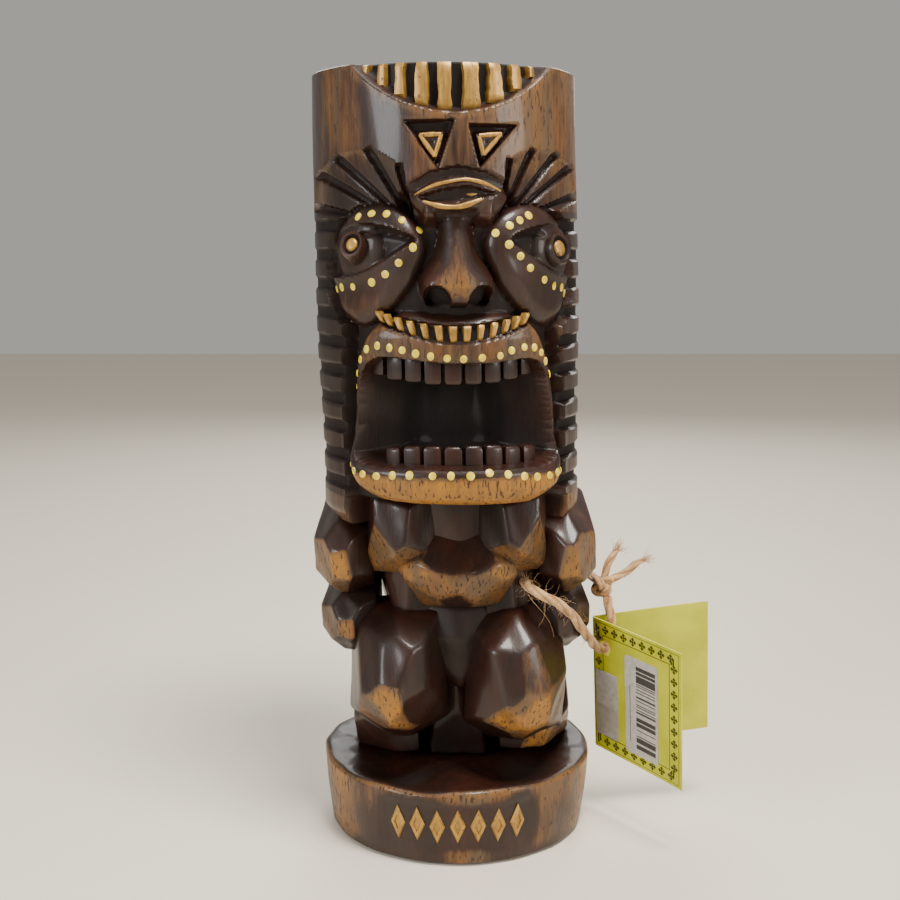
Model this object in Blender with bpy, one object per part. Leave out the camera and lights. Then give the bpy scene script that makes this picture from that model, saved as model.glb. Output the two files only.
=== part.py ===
"""Souvenir tiki figure carved from one log, with a folded card tag tied to its arm by jute twine.

Metres, +Z up. The origin is the centre of the base's underside and the figure looks along -Y.
"""

import math

import bmesh
import bpy
from mathutils import Euler, Matrix, Vector

# Heights of the carving, stacked from the ground up
BASE_HEIGHT = 0.021
LEG_HEIGHT = 0.0365
BODY_HEIGHT = 0.030
HEAD_HEIGHT = 0.1155

# The log that it is carved from
FOOT_RADIUS = 0.0373
CROWN_RADIUS = 0.0343
BASE_TAPER = 0.0022
BASE_CHAMFER = 0.0007
LEAN = 0.0215  # sideways drift of the log per unit of height
FACE_TURN = math.radians(4)

# The face, as heights above the head's underside
CHIN_RISE = 0.0075
LIP_RISE = 0.0175
MOUTH_RISE = 0.0435
BAND_RISE = 0.0515
NOSE_RISE = 0.0570
NOSE_LENGTH = 0.0225
EYE_RISE = 0.0710
SNOUT_RISE = 0.0845
SMALL_EYE_DROP = 0.0150  # from the top of the head to the small eyes' upper edge
SMALL_EYE_HEIGHT = 0.0112
SMALL_EYE_DEPTH = 0.0046
SMALL_EYE_CORE = 0.45  # size of the raised triangle inside the cut one
CORE_DEPTH = 0.0219
CORE_PROUD = 0.0001
SCOOP_DROP = 0.0122
SCOOP_HALF_WIDTH = 0.0250
SCOOP_DEPTH = 0.0042
BAR_COUNT = 9
BAR_PROUD = 0.0012

# The mouth
MOUTH_HALF_TOP = 0.0205
MOUTH_HALF_BOTTOM = 0.0245
MOUTH_DEPTH = 0.0190
UPPER_TEETH = 8
LOWER_TEETH = 7
TOOTH_HEIGHT = 0.0052
TOOTH_WIDTH = 0.0036
BAND_BARS = 13

# Cut hair at the sides of the head
NOTCH_PITCH = 0.0073
NOTCH_HEIGHT = 0.0031
NOTCH_DEPTH = 0.0024
NOTCH_COUNT = 10
NOTCH_FIRST_RISE = 0.0075
RAY_COUNT = 5
RAY_INNER = 0.0105
RAY_OUTER = 0.0220
RAY_WIDTH = 0.0034

# Ornament on the base, a row of raised lozenges in a sunk band
ORNAMENT_COUNT = 7
ORNAMENT_WIDTH = 0.0042
ORNAMENT_HEIGHT = 0.0096
ORNAMENT_PITCH = 0.0054
ORNAMENT_SUNK = 0.0011
ORNAMENT_MARGIN = 0.0013
ORNAMENT_LEVEL = 0.0111

# The gap between arm and body, as shares of the log's radius
GAP_INNER = 0.41
GAP_OUTER = 0.60

# Card tag, a sheet folded once
LEAF_WIDTH = 0.0340
LEAF_HEIGHT = 0.0390
CARD_THICKNESS = 0.0004
FOLD_OPENING = math.radians(66)
TAG_FORWARD = 0.0045  # of the fold's upper end, in front of the log's axis
TAG_OVER_HIP = 0.0007
TAG_TILT = Euler((math.radians(6.0), math.radians(3.5), math.radians(-54.0)))
HOLE_RADIUS = 0.0022
HOLE_FROM_FOLD = 0.0050
HOLE_FROM_TOP = 0.0080
CREASE_GAP = 0.0007
LABEL_THICKNESS = 0.00012
LABEL_LIFT = 0.0001
LONG_LABEL = (0.0125, 0.0285)
LONG_LABEL_FROM_EDGE = 0.0085
LONG_LABEL_FROM_BOTTOM = 0.0035
SHORT_LABEL = (0.0085, 0.0195)
SHORT_LABEL_FROM_FOLD = 0.0015
SHORT_LABEL_FROM_BOTTOM = 0.0045

# Jute twine
TWINE_DIAMETER = 0.0025
KNOT_CENTRE = Vector((0.0402, -0.0012, 0.0662))
KNOT_RADII = (0.0034, 0.0030, 0.0031)
CLEARANCE = 0.0003

HIP = BASE_HEIGHT + LEG_HEIGHT
CHIN = HIP + BODY_HEIGHT
TOP = CHIN + HEAD_HEIGHT
TAG_CORNER = Vector((FOOT_RADIUS, -TAG_FORWARD, HIP + TAG_OVER_HIP))  # the fold's upper end
SINK = 0.001  # how far a joined block runs into its neighbour


def log_radius(z):
    share = (z - BASE_HEIGHT) / (TOP - BASE_HEIGHT)
    return FOOT_RADIUS + (CROWN_RADIUS - FOOT_RADIUS) * min(max(share, 0.0), 1.0)


def collection(name):
    made = bpy.data.collections.new(name)
    bpy.context.scene.collection.children.link(made)
    return made


def material(name, colour, roughness, metallic=0.0):
    made = bpy.data.materials.new(name)
    made.use_nodes = True
    shader = made.node_tree.nodes["Principled BSDF"]
    shader.inputs["Base Color"].default_value = (*colour, 1.0)
    shader.inputs["Roughness"].default_value = roughness
    shader.inputs["Metallic"].default_value = metallic
    return made


def keep(bm, name, group, turn=0.0, leaning=True):
    """Turn the shape about the log's axis, let it lean with the log and store it as an object."""
    bmesh.ops.recalc_face_normals(bm, faces=bm.faces)
    bmesh.ops.rotate(bm, verts=bm.verts, cent=(0, 0, 0), matrix=Matrix.Rotation(turn, 3, "Z"))
    if leaning:
        for vert in bm.verts:
            vert.co.x -= LEAN * max(0.0, vert.co.z - BASE_HEIGHT)
    mesh = bpy.data.meshes.new(name)
    bm.to_mesh(mesh)
    bm.free()
    obj = bpy.data.objects.new(name, mesh)
    group.objects.link(obj)
    if group.name != OBJECT_NAME:
        obj.hide_render = True
        obj.display_type = "WIRE"
    return obj


def hull(name, group, points, turn=0.0):
    """A block bounded by flat facets: the convex hull of its corners."""
    bm = bmesh.new()
    for point in points:
        bm.verts.new(point)
    made = bmesh.ops.convex_hull(bm, input=bm.verts)
    spare = [g for g in made["geom_interior"] if isinstance(g, bmesh.types.BMVert)]
    bmesh.ops.delete(bm, geom=spare, context="VERTS")
    return keep(bm, name, group, turn)


def block(name, group, rows, sides=(1,), turn=0.0):
    """A chip-carved block: at each height, corners given as shares of the log's radius (across, forward)."""
    points = []
    for z, corners in rows:
        radius = log_radius(z)
        for side in sides:
            points += [(side * across * radius, -forward * radius, z) for across, forward in corners]
    return hull(name, group, points, turn)


def radial(angle):
    """Outward and sideways unit vectors at an angle from the front, positive towards +X."""
    outward = Vector((math.sin(angle), -math.cos(angle), 0))
    sideways = Vector((math.cos(angle), math.sin(angle), 0))
    return outward, sideways


def prism(name, group, outline, angle, z, inner, outer, turn=FACE_TURN, shrink=1.0):
    """An outline (sideways, up) about a point at height z, run outwards from one radius to another."""
    outward, sideways = radial(angle)
    points = []
    for reach, size in ((inner, shrink), (outer, 1.0)):
        for across, up in outline:
            points.append(outward * reach + sideways * across * size + Vector((0, 0, z + up * size)))
    return hull(name, group, points, turn)


def ring_sector(name, group, inner, outer, low, high, start, end, turn=FACE_TURN):
    """A curved bar round the log between two angles, of rectangular section."""
    bm = bmesh.new()
    outward, _ = radial(start)
    up = Vector((0, 0, 1))
    corners = [(inner, low), (outer, low), (outer, high), (inner, high)]
    face = bm.faces.new([bm.verts.new(outward * reach + up * z) for reach, z in corners])
    steps = max(3, round(math.degrees(end - start) / 6))
    geom = [face, *face.edges, *face.verts]
    bmesh.ops.spin(bm, geom=geom, cent=(0, 0, 0), axis=(0, 0, 1), angle=end - start, steps=steps)
    return keep(bm, name, group, turn)


def ball(name, group, angle, reach, z, radii, turn=FACE_TURN, segments=16):
    """An ellipsoid with its radii along the outward, sideways and upward directions."""
    outward, sideways = radial(angle)
    bm = bmesh.new()
    bmesh.ops.create_uvsphere(bm, u_segments=segments, v_segments=segments // 2 + 2, radius=1.0)
    frame = Matrix((outward * radii[0], sideways * radii[1], Vector((0, 0, radii[2])))).transposed()
    bmesh.ops.transform(bm, matrix=frame.to_4x4(), verts=bm.verts)
    bmesh.ops.translate(bm, vec=outward * reach + Vector((0, 0, z)), verts=bm.verts)
    return keep(bm, name, group, turn)


def turned(name, group, profile, steps=64, leaning=True):
    """A solid of revolution about Z from (radius, height) points, listed from the top down."""
    bm = bmesh.new()
    verts = [bm.verts.new((radius, 0, z)) for radius, z in profile]
    for first, second in zip(verts, verts[1:]):
        bm.edges.new((first, second))
    geom = [*bm.verts, *bm.edges]
    bmesh.ops.spin(bm, geom=geom, cent=(0, 0, 0), axis=(0, 0, 1), angle=2 * math.pi, steps=steps)
    bmesh.ops.remove_doubles(bm, verts=bm.verts, dist=1e-6)
    return keep(bm, name, group, leaning=leaning)


def box_outline(width, height):
    half, rise = width / 2, height / 2
    return [(-half, -rise), (half, -rise), (half, rise), (-half, rise)]


def base_solid(group):
    rim = FOOT_RADIUS
    profile = [
        (0, BASE_HEIGHT),
        (rim - 0.0016, BASE_HEIGHT),
        (rim, BASE_HEIGHT - 0.0014),
        (rim - BASE_TAPER, BASE_CHAMFER),
        (rim - BASE_TAPER - BASE_CHAMFER, 0),
        (0, 0),
    ]
    return turned("carved_figure", group, profile, steps=72, leaning=False)


def legs(group):
    knee = BASE_HEIGHT + 0.62 * LEG_HEIGHT
    for side, label in ((-1, "left"), (1, "right")):
        block(f"thigh_{label}", group, [
            (HIP + SINK, [(0.06, 0.40), (0.34, 0.50), (0.58, 0.26), (0.46, -0.62), (0.10, -0.62)]),
            (BASE_HEIGHT + 0.84 * LEG_HEIGHT, [(0.10, 0.62), (0.36, 0.72), (0.70, 0.46), (0.76, -0.20)]),
            (knee, [(0.12, 0.74), (0.22, 0.84), (0.48, 0.83), (0.76, 0.52), (0.78, -0.20)]),
            (BASE_HEIGHT + 0.36 * LEG_HEIGHT, [(0.16, 0.74), (0.34, 0.80), (0.56, 0.74), (0.72, 0.40)]),
            (BASE_HEIGHT + 0.24 * LEG_HEIGHT, [(0.34, 0.66), (0.50, 0.62), (0.60, 0.30), (0.40, -0.50)]),
        ], sides=(side,))
        block(f"foot_{label}", group, [
            (BASE_HEIGHT + 0.44 * LEG_HEIGHT, [(0.24, 0.40), (0.78, 0.34), (0.82, -0.44), (0.28, -0.60)]),
            (BASE_HEIGHT - SINK, [(0.16, 0.48), (0.84, 0.36), (0.87, -0.30), (0.30, -0.72)]),
        ], sides=(side,))


def torso(group):
    both = (-1, 1)
    back = [(0.40, -0.84), (0.22, -0.95), (0.05, -0.98)]
    block("back_slab", group, [
        (BASE_HEIGHT - SINK, [(0.40, 0.05), *back]),
        (CHIN + CHIN_RISE, [(GAP_INNER, 0.05), *back]),
    ], sides=both)
    block("chest", group, [
        (CHIN + CHIN_RISE, [(0.50, 0.52), (0.14, 0.64), (0.40, -0.1)]),
        (CHIN - 0.0025, [(0.62, 0.40), (0.52, 0.58), (0.18, 0.74), (0.55, -0.1)]),
        (HIP + 0.66 * BODY_HEIGHT, [(GAP_INNER, 0.56), (0.14, 0.76), (0.38, -0.1)]),
    ], sides=both)
    block("belly", group, [
        (HIP + 0.70 * BODY_HEIGHT, [(GAP_INNER, 0.54), (0.15, 0.76), (0.28, 0.10)]),
        (HIP + 0.40 * BODY_HEIGHT, [(0.38, 0.60), (0.14, 0.82), (0.39, 0.10)]),
        (HIP + 0.26 * BODY_HEIGHT, [(0.30, 0.60), (0.10, 0.78), (0.34, 0.10)]),
    ], sides=both)
    block("hips", group, [
        (HIP + 0.34 * BODY_HEIGHT, [(0.28, 0.56), (0.08, 0.66), (0.38, -0.2)]),
        (HIP, [(0.34, 0.50), (0.06, 0.60), (0.38, -0.2)]),
        (BASE_HEIGHT + 0.60 * LEG_HEIGHT, [(0.20, 0.66), (0.46, -0.2)]),
        (BASE_HEIGHT - SINK, [(0.26, 0.46), (0.40, -0.2)]),
    ], sides=both)


def arms(group):
    for side, label in ((-1, "left"), (1, "right")):
        block(f"upper_arm_{label}", group, [
            (CHIN + SINK, [(0.54, 0.42), (0.78, 0.40), (0.84, -0.36), (GAP_OUTER, -0.40)]),
            (HIP + 0.80 * BODY_HEIGHT, [(GAP_OUTER, 0.58), (0.76, 0.62), (0.93, 0.34), (0.95, -0.28)]),
            (HIP + 0.56 * BODY_HEIGHT, [(GAP_OUTER, 0.56), (0.84, 0.56), (0.98, 0.20), (0.96, -0.26)]),
            (HIP + 0.34 * BODY_HEIGHT, [(GAP_OUTER, 0.42), (0.86, 0.40), (0.92, -0.20), (GAP_OUTER, -0.42)]),
        ], sides=(side,))
        block(f"forearm_{label}", group, [
            (HIP + 0.42 * BODY_HEIGHT, [(GAP_OUTER, 0.36), (0.86, 0.28), (0.88, -0.26), (GAP_OUTER, -0.40)]),
            (HIP + 0.16 * BODY_HEIGHT, [(GAP_OUTER, 0.42), (0.82, 0.46), (0.94, 0.18), (0.92, -0.26)]),
            (HIP - 0.005, [(0.56, 0.34), (0.80, 0.36), (0.90, 0.12), (0.84, -0.34), (0.50, -0.40)]),
            (HIP - 0.009, [(0.68, 0.28), (0.74, 0.26), (0.70, -0.30)]),
        ], sides=(side,))


def head(group):
    edge = 0.0025
    profile = [
        (0, TOP),
        (log_radius(TOP) - 0.0008, TOP),
        (log_radius(TOP), TOP - 0.0008),
        (log_radius(CHIN), CHIN + edge),
        (log_radius(CHIN) - edge, CHIN),
        (0, CHIN),
    ]
    turned("head_log", group, profile)


def head_cuts(group):
    front = log_radius(CHIN)
    deep = front * 1.2
    block("under_chin", group, [
        (CHIN - SINK, [(0.56, 0.66), (0.56, 1.2)]),
        (CHIN + CHIN_RISE, [(0.60, 0.74), (0.60, 1.2)]),
    ], sides=(-1, 1), turn=FACE_TURN)
    face_angle = math.radians(47)
    ring_sector("face_field", group, front * 0.90, deep, CHIN + BAND_RISE + 0.004,
                CHIN + SNOUT_RISE - 0.004, -face_angle, face_angle)
    ring_sector("mouth_field", group, front * 0.90, deep, CHIN + CHIN_RISE - SINK,
                CHIN + BAND_RISE + 0.006, -math.radians(55), math.radians(55))
    for side in (-1, 1):
        sockets(group, side)
        notches(group, side)
        rays(group, side)
        small_eye(group, side, SMALL_EYE_DEPTH, deep - front)
    scoop(group)
    mouth_hollow(group)


def sockets(group, side):
    radius = log_radius(CHIN + EYE_RISE)
    outline = [(-0.0160, 0.0030), (-0.0060, 0.0090), (0.0080, 0.0078), (0.0130, 0.0050),
               (0.0135, -0.0105), (0.0020, -0.0086), (-0.0080, -0.0040)]
    prism("socket", group, [(side * s, up) for s, up in outline], side * math.radians(42),
          CHIN + EYE_RISE, radius * 0.76, radius * 1.2)


def notches(group, side):
    for count in range(NOTCH_COUNT):
        z = CHIN + NOTCH_FIRST_RISE + NOTCH_PITCH * (count + 0.5)
        radius = log_radius(z)
        ends = sorted((side * math.radians(50), side * math.radians(126)))
        ring_sector("notch", group, radius - NOTCH_DEPTH, radius * 1.1, z - NOTCH_HEIGHT / 2,
                    z + NOTCH_HEIGHT / 2, *ends)


def rays(group, side):
    radius = log_radius(CHIN + EYE_RISE)
    middle = (RAY_INNER + RAY_OUTER) / 2
    for count in range(RAY_COUNT):
        slope = math.radians(52 + 26 * count)
        around = -side * math.cos(slope) * middle
        angle = side * math.radians(45) + around / radius
        length = (RAY_OUTER - RAY_INNER) / 2
        along = Vector((-side * math.cos(slope), math.sin(slope)))
        across = Vector((along.y, -along.x))
        outline = []
        for reach, width in ((-length, 0.6), (length, 1.0)):
            for edge in (-0.5, 0.5):
                outline.append(along * reach + across * edge * width * RAY_WIDTH)
        prism("ray", group, outline, angle, CHIN + EYE_RISE + math.sin(slope) * middle,
              radius - NOTCH_DEPTH, radius * 1.15)


def small_eye(group, side, depth, proud, size=1.0):
    z = TOP - SMALL_EYE_DROP
    radius = log_radius(z)
    tall = SMALL_EYE_HEIGHT
    outline = [(-0.0062, 0.0), (0.0062, 0.0), (-0.0032, -tall)]
    centre = Vector((-0.001, -tall / 3))
    shaped = [centre + (Vector(point) - centre) * size for point in outline]
    angle = side * math.radians(14.5) + 0.0018 / radius
    prism("small_eye", group, [(side * s, up) for s, up in shaped], angle, z,
          radius - depth, radius + proud)


def scoop_circle():
    """Centre height and radius of the round cut that takes the front off the crown."""
    rise = SCOOP_DROP
    radius = (SCOOP_HALF_WIDTH ** 2 + rise ** 2) / (2 * rise)
    return TOP - rise + radius, radius


def scoop(group):
    centre, radius = scoop_circle()
    shell = log_radius(TOP)
    low = []
    count = 24
    for step in range(count + 1):
        angle = math.radians(-48 + 96 * step / count)
        across = shell * math.sin(angle)
        low.append((angle, centre - math.sqrt(max(radius ** 2 - across ** 2, 0.0))))
    bm = bmesh.new()
    rows = []
    for angle, floor in low:
        outward, _ = radial(angle)
        floor = min(floor, TOP + 0.001)
        ring = [(shell - SCOOP_DEPTH, floor), (shell * 1.1, floor - 0.0012),
                (shell * 1.1, TOP + 0.006), (shell - SCOOP_DEPTH, TOP + 0.006)]
        rows.append([bm.verts.new(outward * reach + Vector((0, 0, z))) for reach, z in ring])
    for first, second in zip(rows, rows[1:]):
        for here, there in ((0, 1), (1, 2), (2, 3), (3, 0)):
            bm.faces.new((first[here], first[there], second[there], second[here]))
    bm.faces.new(rows[0])
    bm.faces.new(rows[-1][::-1])
    keep(bm, "scoop", group, FACE_TURN)


def mouth_hollow(group):
    radius = log_radius(CHIN + MOUTH_RISE)
    low, high = CHIN + LIP_RISE, CHIN + MOUTH_RISE
    middle = (low + high) / 2
    outline = [(-MOUTH_HALF_BOTTOM, low - middle), (MOUTH_HALF_BOTTOM, low - middle),
               (MOUTH_HALF_BOTTOM, middle - low - 0.006), (MOUTH_HALF_TOP, high - middle),
               (-MOUTH_HALF_TOP, high - middle), (-MOUTH_HALF_BOTTOM, middle - low - 0.006)]
    prism("mouth_hollow", group, outline, 0, middle, radius * 0.98 - MOUTH_DEPTH, radius * 1.2, shrink=0.86)


def features(group):
    radius = log_radius(CHIN + NOSE_RISE)
    nose_base, nose_top = CHIN + NOSE_RISE, CHIN + NOSE_RISE + NOSE_LENGTH
    block("nose", group, [
        (nose_top, [(0.11, 0.93), (0.13, 0.7)]),
        (nose_base + 0.45 * NOSE_LENGTH, [(0.09, 1.00), (0.15, 0.8)]),
        (nose_base + 0.22 * NOSE_LENGTH, [(0.14, 1.07), (0.31, 0.94), (0.31, 0.7)]),
        (nose_base, [(0.12, 1.03), (0.27, 0.94), (0.25, 0.7)]),
    ], sides=(-1, 1), turn=FACE_TURN)
    snout = CHIN + SNOUT_RISE
    block("snout", group, [
        (snout + 0.0042, [(0.08, 1.0), (0.18, 0.96), (0.2, 0.8)]),
        (snout, [(0.10, 1.04), (0.31, 0.93), (0.3, 0.8)]),
        (snout - 0.0036, [(0.10, 1.02), (0.20, 0.96), (0.2, 0.8)]),
    ], sides=(-1, 1), turn=FACE_TURN)
    ring_sector("upper_lip", group, radius * 0.80, radius * 0.985, CHIN + MOUTH_RISE,
                CHIN + MOUTH_RISE + 0.0042, -math.radians(44), math.radians(44))
    ring_sector("lower_lip", group, radius * 0.72, radius * 1.01, CHIN + CHIN_RISE,
                CHIN + LIP_RISE, -math.radians(50), math.radians(50))
    band_low, band_high = CHIN + MOUTH_RISE + 0.004, CHIN + BAND_RISE
    for count in range(BAND_BARS):
        share = (count + 0.5) / BAND_BARS * 2 - 1
        lift = 0.0034 * share ** 2
        outline = box_outline(0.0019, band_high - band_low)
        prism("band_bar", group, outline, share * math.radians(33), (band_low + band_high) / 2 + lift,
              radius * 0.86, radius * 1.0)
    for side in (-1, 1):
        ends = sorted((side * math.radians(46.5), side * math.radians(51.5)))
        ring_sector("jaw", group, radius * 0.78, radius * 0.955, CHIN + LIP_RISE - SINK,
                    CHIN + BAND_RISE, *ends)
        ball("cheek", group, side * math.radians(50), radius * 0.74, CHIN + BAND_RISE + 0.0045,
             (0.0065, 0.0075, 0.0055), segments=12)
        ball("eyeball", group, side * math.radians(46), radius * 0.67, CHIN + EYE_RISE - 0.0005,
             (0.0080, 0.0085, 0.0088))
        pupil(group, side)
        small_eye(group, side, CORE_DEPTH, CORE_PROUD, SMALL_EYE_CORE)
    teeth(group)
    crown_bars(group)


def pupil(group, side):
    radius = log_radius(CHIN + EYE_RISE)
    outline = []
    for step in range(12):
        turn = 2 * math.pi * step / 12
        outline.append((0.0027 * math.cos(turn), 0.0033 * math.sin(turn)))
    prism("pupil", group, outline, side * math.radians(46), CHIN + EYE_RISE + 0.0012,
          radius * 0.8, radius * 0.92)


def teeth(group):
    radius = log_radius(CHIN + MOUTH_RISE) * 0.86
    for count, level, rows in ((UPPER_TEETH, CHIN + MOUTH_RISE, -1), (LOWER_TEETH, CHIN + LIP_RISE, 1)):
        for place in range(count):
            angle = math.radians(-38 + 76 * (place + 0.5) / count)
            z = level + rows * (TOOTH_HEIGHT / 2 - SINK)
            prism("tooth", group, box_outline(TOOTH_WIDTH, TOOTH_HEIGHT), angle, z,
                  radius - 0.0036, radius)


def crown_bars(group):
    centre, radius = scoop_circle()
    shell = log_radius(TOP)
    for place in range(BAR_COUNT):
        angle = math.radians(-41 + 82 * (place + 0.5) / BAR_COUNT)
        floor = centre - math.sqrt(radius ** 2 - (shell * math.sin(angle)) ** 2) - 0.0006
        width = 0.0022 + 0.0018 * math.cos(angle * 1.8)
        prism("crown_bar", group, box_outline(width, TOP - floor), angle, (TOP + floor) / 2,
              shell - SCOOP_DEPTH - SINK, shell - SCOOP_DEPTH + BAR_PROUD)


def feature_cuts(group):
    radius = log_radius(CHIN + NOSE_RISE)
    for side in (-1, 1):
        ball("nostril", group, side * math.radians(9.3), radius * 1.0, CHIN + NOSE_RISE + 0.0006,
             (0.0042, 0.0030, 0.0034), segments=12)
    block("snout_slit", group, [
        (CHIN + SNOUT_RISE + 0.0008, [(0.34, 0.93), (0.0, 0.97), (0.34, 1.2)]),
        (CHIN + SNOUT_RISE - 0.0008, [(0.22, 0.93), (0.0, 0.97), (0.22, 1.2)]),
    ], sides=(-1, 1), turn=FACE_TURN)


def ornament_cut(group):
    half = math.radians(4) + ORNAMENT_PITCH * ORNAMENT_COUNT / 2 / FOOT_RADIUS
    tall = ORNAMENT_HEIGHT / 2 + ORNAMENT_MARGIN
    ring_sector("sunk_band", group, base_radius(ORNAMENT_LEVEL) - ORNAMENT_SUNK, FOOT_RADIUS * 1.2,
                ORNAMENT_LEVEL - tall, ORNAMENT_LEVEL + tall, -half, half, turn=0.0)


def base_radius(z):
    return FOOT_RADIUS - BASE_TAPER * (1 - z / BASE_HEIGHT)


def ornament(group):
    radius = base_radius(ORNAMENT_LEVEL)
    for place in range(ORNAMENT_COUNT):
        angle = (place - (ORNAMENT_COUNT - 1) / 2) * ORNAMENT_PITCH / radius
        wide, tall = ORNAMENT_WIDTH / 2, ORNAMENT_HEIGHT / 2
        outline = [(-wide, 0), (0, -tall), (wide, 0), (0, tall)]
        prism("lozenge", group, outline, angle, ORNAMENT_LEVEL, radius - ORNAMENT_SUNK - SINK,
              radius - 0.0002, turn=0.0)


def combine(target, operation, group):
    modifier = target.modifiers.new(f"{operation.lower()} {group.name}", "BOOLEAN")
    modifier.operation = operation
    modifier.operand_type = "COLLECTION"
    modifier.collection = group
    modifier.solver = "MANIFOLD"  # EXACT leaves open edges here at other body heights


def carving(group):
    figure = base_solid(group)
    blocks = collection("figure_blocks")
    legs(blocks)
    torso(blocks)
    arms(blocks)
    head(blocks)
    cuts = collection("figure_cutters")
    head_cuts(cuts)
    ornament_cut(cuts)
    relief = collection("figure_relief")
    features(relief)
    ornament(relief)
    fine_cuts = collection("figure_fine_cutters")
    feature_cuts(fine_cuts)
    combine(figure, "UNION", blocks)
    combine(figure, "DIFFERENCE", cuts)
    combine(figure, "UNION", relief)
    combine(figure, "DIFFERENCE", fine_cuts)
    figure.data.materials.append(material("stained wood", (0.12, 0.055, 0.028), 0.38))
    return figure


def card_leaf(name, group, parent, turn, holed, face_material):
    """A leaf of card that hangs from the crease; its outer face is the one turned away from the other leaf."""
    curve = bpy.data.curves.new(name, "CURVE")
    curve.dimensions = "2D"
    curve.fill_mode = "BOTH"
    curve.extrude = CARD_THICKNESS / 2
    edge = curve.splines.new("POLY")
    corners = [(CREASE_GAP, 0), (LEAF_WIDTH, 0), (LEAF_WIDTH, -LEAF_HEIGHT), (CREASE_GAP, -LEAF_HEIGHT)]
    edge.points.add(len(corners) - 1)
    for point, (x, y) in zip(edge.points, corners):
        point.co = (x, y, 0, 1)
    edge.use_cyclic_u = True
    if holed:
        hole = curve.splines.new("POLY")
        sides = 16
        hole.points.add(sides - 1)
        for step, point in enumerate(hole.points):
            angle = 2 * math.pi * step / sides
            x = HOLE_FROM_FOLD + HOLE_RADIUS * math.cos(angle)
            point.co = (x, -HOLE_FROM_TOP + HOLE_RADIUS * math.sin(angle), 0, 1)
        hole.use_cyclic_u = True
    leaf = bpy.data.objects.new(name, curve)
    group.objects.link(leaf)
    leaf.parent = parent
    leaf.matrix_local = Matrix.Rotation(turn, 4, "Z") @ Matrix.Rotation(math.radians(90), 4, "X")
    curve.materials.append(face_material)
    return leaf


def label(name, group, parent, size, centre, paper):
    """A sticker on the front leaf's outer face."""
    bpy.ops.mesh.primitive_cube_add(size=1)
    sticker = bpy.context.object
    sticker.name = name
    sticker.data.name = name
    sticker.scale = (size[0], LABEL_THICKNESS, size[1])
    for owner in sticker.users_collection:
        owner.objects.unlink(sticker)
    group.objects.link(sticker)
    sticker.parent = parent
    out = -(CARD_THICKNESS / 2 + LABEL_LIFT + LABEL_THICKNESS / 2)
    sticker.location = (centre[0], out, centre[1])
    sticker.data.materials.append(paper)
    return sticker


def tag(group):
    """The folded card: the front leaf on the tag's own frame, the back leaf swung open about the crease."""
    crease = bpy.data.objects.new("tag_crease", None)
    bpy.context.scene.collection.objects.link(crease)
    crease.location = TAG_CORNER
    crease.rotation_euler = TAG_TILT
    card = material("yellow card", (0.62, 0.58, 0.05), 0.55)
    inside = material("yellow card inside", (0.68, 0.62, 0.06), 0.55)
    paper = material("label paper", (0.50, 0.48, 0.45), 0.6)
    card_leaf("tag_front_leaf", group, crease, 0.0, True, card)
    card_leaf("tag_back_leaf", group, crease, FOLD_OPENING, False, inside)
    long_wide, long_tall = LONG_LABEL
    long_at = (LEAF_WIDTH - LONG_LABEL_FROM_EDGE - long_wide / 2, -LEAF_HEIGHT + LONG_LABEL_FROM_BOTTOM + long_tall / 2)
    label("code_label", group, crease, LONG_LABEL, long_at, paper)
    short_wide, short_tall = SHORT_LABEL
    short_at = (SHORT_LABEL_FROM_FOLD + short_wide / 2, -LEAF_HEIGHT + SHORT_LABEL_FROM_BOTTOM + short_tall / 2)
    label("date_label", group, crease, SHORT_LABEL, short_at, paper)
    return Matrix.LocRotScale(TAG_CORNER, TAG_TILT, None)


def smooth_route(points, spacing):
    """Points at an even spacing along a Catmull-Rom curve through the route's own points."""
    ends = [points[0] * 2 - points[1], *points, points[-1] * 2 - points[-2]]
    fine = []
    for a, b, c, d in zip(ends, ends[1:], ends[2:], ends[3:]):
        for step in range(24):
            t = step / 24
            fine.append(0.5 * (2 * b + (c - a) * t + (2 * a - 5 * b + 4 * c - d) * t * t
                               + (3 * b - a - 3 * c + d) * t ** 3))
    fine.append(points[-1].copy())
    total = sum((q - p).length for p, q in zip(fine, fine[1:]))
    count = max(2, round(total / spacing))
    even, walked, target = [fine[0]], 0.0, total / count
    for p, q in zip(fine, fine[1:]):
        step = (q - p).length
        while step > 0 and walked + step >= target - 1e-9 and len(even) < count:
            even.append(p + (q - p) * ((target - walked) / step))
            target += total / count
        walked += step
    return [*even, fine[-1]]


def cord(name, group, points, diameter, jute):
    """A tube of twine along a smooth curve."""
    curve = bpy.data.curves.new(name, "CURVE")
    curve.dimensions = "3D"
    curve.bevel_depth = diameter / 2
    curve.bevel_resolution = 2
    curve.use_fill_caps = True
    spline = curve.splines.new("POLY")
    route = smooth_route(points, 2 * diameter)
    spline.points.add(len(route) - 1)
    for point, place in zip(spline.points, route):
        point.co = (*place, 1)
    obj = bpy.data.objects.new(name, curve)
    group.objects.link(obj)
    curve.materials.append(jute)
    return obj


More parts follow.
